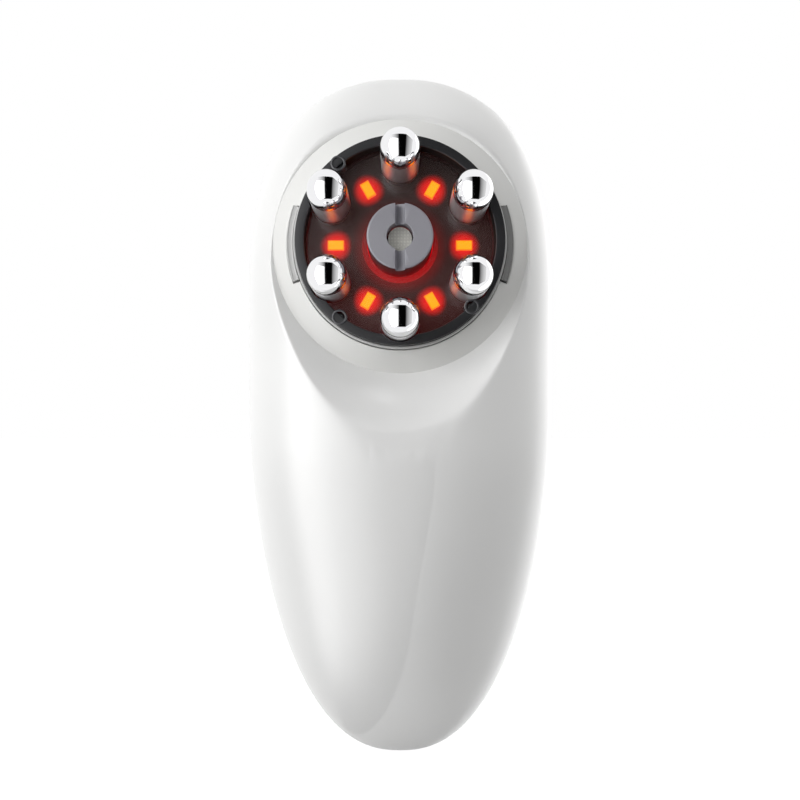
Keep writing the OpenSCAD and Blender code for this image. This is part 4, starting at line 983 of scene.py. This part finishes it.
def clipPiece(name, degrees, node, material):
    # A narrow sprung clip in its slot, with a low border round its face
    angles = np.radians(degrees + np.linspace(-clip["spread"], clip["spread"], 60))
    inner, outer, top, low = clip["inner"], clip["outer"], clip["top"], clip["top"] - clip["sink"]
    border, edge, step = clip["border"], clip["edge"], clip["step"]
    section = softened([(inner, clip["bottom"], 0), (inner, top, edge), (inner + border, top, step),
                        (inner + border + step, low, step), (outer - border - step, low, step),
                        (outer - border, top, step), (outer, top, edge),
                        (outer, clip["bottom"], 0)])
    barPiece(name, [frontPoints(section[:, 0] * math.cos(a),
                                head["at"] + section[:, 0] * math.sin(a), section[:, 1])
                    for a in angles], slot="clip_grey", stands=[node], material=material)


clipPiece("leftClip", 180, "left_clip", clipLight)
# The right clip takes the darker grey, which is painted shade
clipPiece("rightClip", 0, "right_clip", clipPaintedShade)
print("treatment head made")

# Finishes of the inner pieces, which keep the shapes of the CAD model
steelPlate = plainMetal("zincPlatedSteel", "#b4b6b8", "#a2a4a6", 0.32)    # dull, faintly drawn
motorSteel = plainMetal("drawnSteelCan", "#9c9ea1", "#8b8d90", 0.3, 0.4)    # lines along the can
nutBrass = plainMetal("machinedBrass", "#c9a45a", "#b8924a", 0.28)    # warm, with fine tool lines
springWire = plainMetal("brightSpringWire", "#c4c6c8", "#b0b2b5", 0.22)    # bright, smooth
# Glass-filled mouldings: matt, with a grain that can be felt
trayAbs = mouldedPlastic("darkMouldedAbs", "#2e2e31", "#353538", 0.5, grain=0.4, depth=0.01)
cradleAbs = mouldedPlastic("greyMouldedNylon", "#505258", "#595b61", 0.52, grain=0.4, depth=0.01)
# Solder mask, epoxy and resins of the boards: a thin glossy lacquer, and matt cast bodies
boardMask = mouldedPlastic("greenSolderMask", "#1f4a2c", "#245533", 0.35, grain=0.3, depth=0.006)
chipEpoxy = mouldedPlastic("blackEpoxy", "#202022", "#29292b", 0.55, grain=0.15, depth=0.006)
switchBody = mouldedPlastic("greySwitchResin", "#c9c9c6", "#bfbfbb", 0.45, grain=0.3, depth=0.005)
lampResin = mouldedPlastic("creamLampResin", "#f4efc8", "#eae4ba", 0.3, grain=0.3, depth=0.003)
# Silicone tube: pale and softly shiny. Shrink sleeve: tight, glossy film
tubeRubber = mouldedPlastic("clearSiliconeRubber", "#cfcfca", "#c4c4be", 0.4, 1.41)
cellWrap = mouldedPlastic("blueShrinkSleeve", "#2f6fb0", "#3476b8", 0.28, grain=0.8, depth=0.008)
nodeFinish = {
    "hub_filter": filterMaterial(), "hub_gasket": gasketMaterial(),
    "lamp_board": lampBoardMaterial(), "head_window": smokedMaterial(),
    "electrode_nuts": nutBrass, "head_tray": trayAbs,
    "tray_screws": steelPlate, "button_switches": switchBody, "control_board": boardMask,
    "board_lamps": lampResin, "board_chips": chipEpoxy, "board_screws": steelPlate,
    "chassis": trayAbs, "chassis_screws": steelPlate, "battery_cell": cellWrap,
    "battery_cradle": cradleAbs, "pump_motor": motorSteel, "pump_bracket": cradleAbs,
    "pump_head": cradleAbs, "pump_rotor": nutBrass, "air_tube": tubeRubber,
    "valve_body": cradleAbs, "valve_plunger": steelPlate,
    "charge_board": boardMask, "charge_socket": steelPlate,
}
lampLens = lampMaterial()
for number in range(1, 7):
    nodeFinish[f"red_lamp_{number}"] = lampLens
for name, material in nodeFinish.items():
    mesh = nodes[name].data
    mesh.materials.clear()
    mesh.materials.append(material)
    mesh.polygons.foreach_set("material_index", [0] * len(mesh.polygons))

valveCoil = {"turns": 3.5, "wireRadius": 0.25, "stepsPerTurn": 36, "travel": 1.0}


def valveSpring():
    # Wound about the plunger
    low, high = [np.array(corner) * 1000 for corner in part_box("valve_spring")]
    middle, wire, length = (low + high) / 2, valveCoil["wireRadius"], high[2] - low[2]
    steps = round(valveCoil["turns"] * valveCoil["stepsPerTurn"]) + 1
    around = np.linspace(0, 2 * np.pi, 12, endpoint=False)
    out = (high[0] - low[0]) / 2 - wire + wire * np.cos(around)
    loops = []
    for part in np.linspace(0, 1, steps):
        turn = 2 * np.pi * valveCoil["turns"] * part
        rise = low[2] + wire + (length - 2 * wire) * part + wire * np.sin(around)
        loops.append(np.stack([middle[0] + out * np.cos(turn), middle[1] + out * np.sin(turn),
                               rise], axis=-1))
    piece = barPiece("valveSpring", loops, slot="spring_steel", stands=["valve_spring"],
                     material=springWire)
    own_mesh(piece)


valveSpring()
print("finishes of the inner pieces set")

studio = {"ambient": 0.62, "floorGlow": 0.92, "floorPaint": 0.3, "floorReach": 3, "aim": 0.075}
# Each panel's place and size are in metres, its power in watts. Some light only dull surfaces and
# some only shiny ones, so that each is set by itself.
panels = {
    "keyPanel": {"at": (-0.74, -0.4, 0.1), "size": (1.0, 0.8), "power": 7.1, "lights": "dull"},
    "sheenPanel": {"at": (-0.38, -0.6, -0.05), "size": (0.86, 1.6), "power": 15, "lights": "shiny"},
    "topPanel": {"at": (0.05, -0.12, 0.75), "size": (0.5, 0.5), "power": 0.5, "lights": "dull"},
    "backPanel": {"at": (0.72, 0.43, 0.15), "size": (0.7, 0.8), "power": 5.9, "lights": "dull"},
    "backSheenPanel": {"at": (0.51, 0.47, -0.05), "size": (0.72, 1.6), "power": 3.5,
                       "lights": "shiny"},
}


def backdropRays(tree):
    # 1 for the rays that see the backdrop itself: from the camera, a shiny piece or a clear one
    ray = addNode(tree, "LightPath")
    seen = addNode(tree, "Math", {"operation": "MAXIMUM"},
                   {0: ray.outputs["Is Camera Ray"], 1: ray.outputs["Is Glossy Ray"]})
    either = addNode(tree, "Math", {"operation": "MAXIMUM"},
                     {0: seen.outputs[0], 1: ray.outputs["Is Transmission Ray"]})
    return either.outputs[0]


def whiteWorld():
    world = bpy.data.worlds.new("studioWorld")
    bpy.context.scene.world = world
    world.use_nodes = True
    tree = world.node_tree
    tree.nodes.clear()
    strength = addNode(tree, "MapRange", None,
                       {"Value": backdropRays(tree), "To Min": studio["ambient"], "To Max": 1.0})
    glow = addNode(tree, "Background", None,
                   {"Color": (1, 1, 1, 1), "Strength": strength.outputs["Result"]})
    addNode(tree, "OutputWorld", None, {"Surface": glow.outputs[0]})


def floorPlane():
    reach = studio["floorReach"]
    mesh = bpy.data.meshes.new("studioFloor")
    mesh.from_pydata([(-reach, -reach, 0), (reach, -reach, 0), (reach, reach, 0),
                      (-reach, reach, 0)], [], [(0, 1, 2, 3)])
    floor = bpy.data.objects.new("studioFloor", mesh)
    bpy.context.scene.collection.objects.link(floor)
    material = bpy.data.materials.new("paintedFloor")
    material.use_nodes = True
    tree = material.node_tree
    tree.nodes.clear()
    strength = addNode(tree, "Math", {"operation": "MULTIPLY"},
                       {0: backdropRays(tree), 1: studio["floorGlow"]})
    glow = addNode(tree, "Emission", None,
                   {"Color": (1, 1, 1, 1), "Strength": strength.outputs[0]})
    paint = addNode(tree, "BsdfDiffuse", None, {"Color": (studio["floorPaint"],) * 3 + (1,)})
    both = addNode(tree, "AddShader", None, {0: glow.outputs[0], 1: paint.outputs[0]})
    addNode(tree, "OutputMaterial", None, {"Surface": both.outputs[0]})
    mesh.materials.append(material)
    floor.visible_glossy = False    # polished pieces see the white studio all round
    floor.visible_shadow = False    # the soft light reaches the tail as on a lit table


def lightPanel(name, at, size, power, lights):
    light = bpy.data.lights.new(name, "AREA")
    light.shape = "RECTANGLE"
    light.size, light.size_y = size
    light.energy = power
    lamp = bpy.data.objects.new(name, light)
    lamp.location = at
    towards = Vector((0, 0, studio["aim"])) - Vector(at)
    lamp.rotation_euler = towards.to_track_quat("-Z", "Y").to_euler()
    lamp.visible_camera = False
    lamp.visible_diffuse = lights == "dull"
    lamp.visible_glossy = lights == "shiny"
    bpy.context.scene.collection.objects.link(lamp)


card = {"reach": 0.45, "height": 0.1, "across": (-0.4, 0.58), "up": (-0.53, 0.53),
        "solid": (-0.07, 0.27), "leftShade": 0.85, "leftPower": 1.3, "edgeShade": 0.22,
        "edgePower": 0.65, "narrowing": 0.38, "steps": (61, 21)}


def darkCard():
    # A dark card beside the camera that only polished pieces see. Its edges are given on a mirror
    # ball as shares of the ball's radius, and it thins out on both sides of its solid part.
    columns, rows = card["steps"]
    across, up = np.meshgrid(np.linspace(*card["across"], columns), np.linspace(*card["up"], rows))
    (leftEdge, rightEdge), (solidFrom, solidTo) = card["across"], card["solid"]
    left = np.clip((across - leftEdge) / (solidFrom - leftEdge), 0, 1)
    right = np.clip((across - solidTo) / (rightEdge - solidTo), 0, 1)
    dark = np.where(left < 1, card["leftShade"] * left ** card["leftPower"],
                    1 - (1 - card["edgeShade"]) * right ** card["edgePower"])
    up = up * (1 - card["narrowing"] * right)
    out = np.sqrt(1 - across ** 2 - up ** 2)
    depth = 2 * out * out - 1
    far = card["reach"] / np.maximum(depth, 0.12)
    points = np.stack([2 * across * out * far, -depth * far, card["height"] + 2 * up * out * far],
                      axis=-1)
    mesh = bpy.data.meshes.new("frontCard")
    mesh.from_pydata(points.reshape(-1, 3).tolist(), [], gridFaces(rows, columns, False, False))
    mesh.attributes.new("shade", "FLOAT", "POINT").data.foreach_set("value", dark.ravel())
    sheet = bpy.data.objects.new("frontCard", mesh)
    bpy.context.scene.collection.objects.link(sheet)
    material, tree, shader = startMaterial("blackVelvet", "#050505", 1.0)
    amount = addNode(tree, "Attribute", {"attribute_name": "shade"})
    feed(tree, shader, {"Specular IOR Level": 0.0, "Alpha": amount.outputs["Fac"]})
    mesh.materials.append(material)
    for kind in ("camera", "shadow", "diffuse", "transmission"):
        setattr(sheet, "visible_" + kind, False)


whiteWorld()
floorPlane()
for name, values in panels.items():
    lightPanel(name, **values)
darkCard()

camera = {"focalPixels": 882, "framePixels": 800, "sensor": 36, "distance": 186.8, "height": 70,
          "principalDown": 19.5}
view = bpy.data.cameras.new("photoCamera")
view.sensor_width = camera["sensor"]
view.lens = camera["focalPixels"] / camera["framePixels"] * camera["sensor"]
view.shift_y = camera["principalDown"] / camera["framePixels"]
view.clip_start = 0.01
viewer = bpy.data.objects.new("photoCamera", view)
viewer.location = (0, (seam["partingY"] - camera["distance"]) * 0.001, camera["height"] * 0.001)
viewer.rotation_euler = (math.pi / 2, 0, 0)
bpy.context.scene.collection.objects.link(viewer)
bpy.context.scene.camera = viewer
bpy.context.scene.view_settings.view_transform = "Standard"
print("studio and camera set")

bpy.context.view_layer.update()
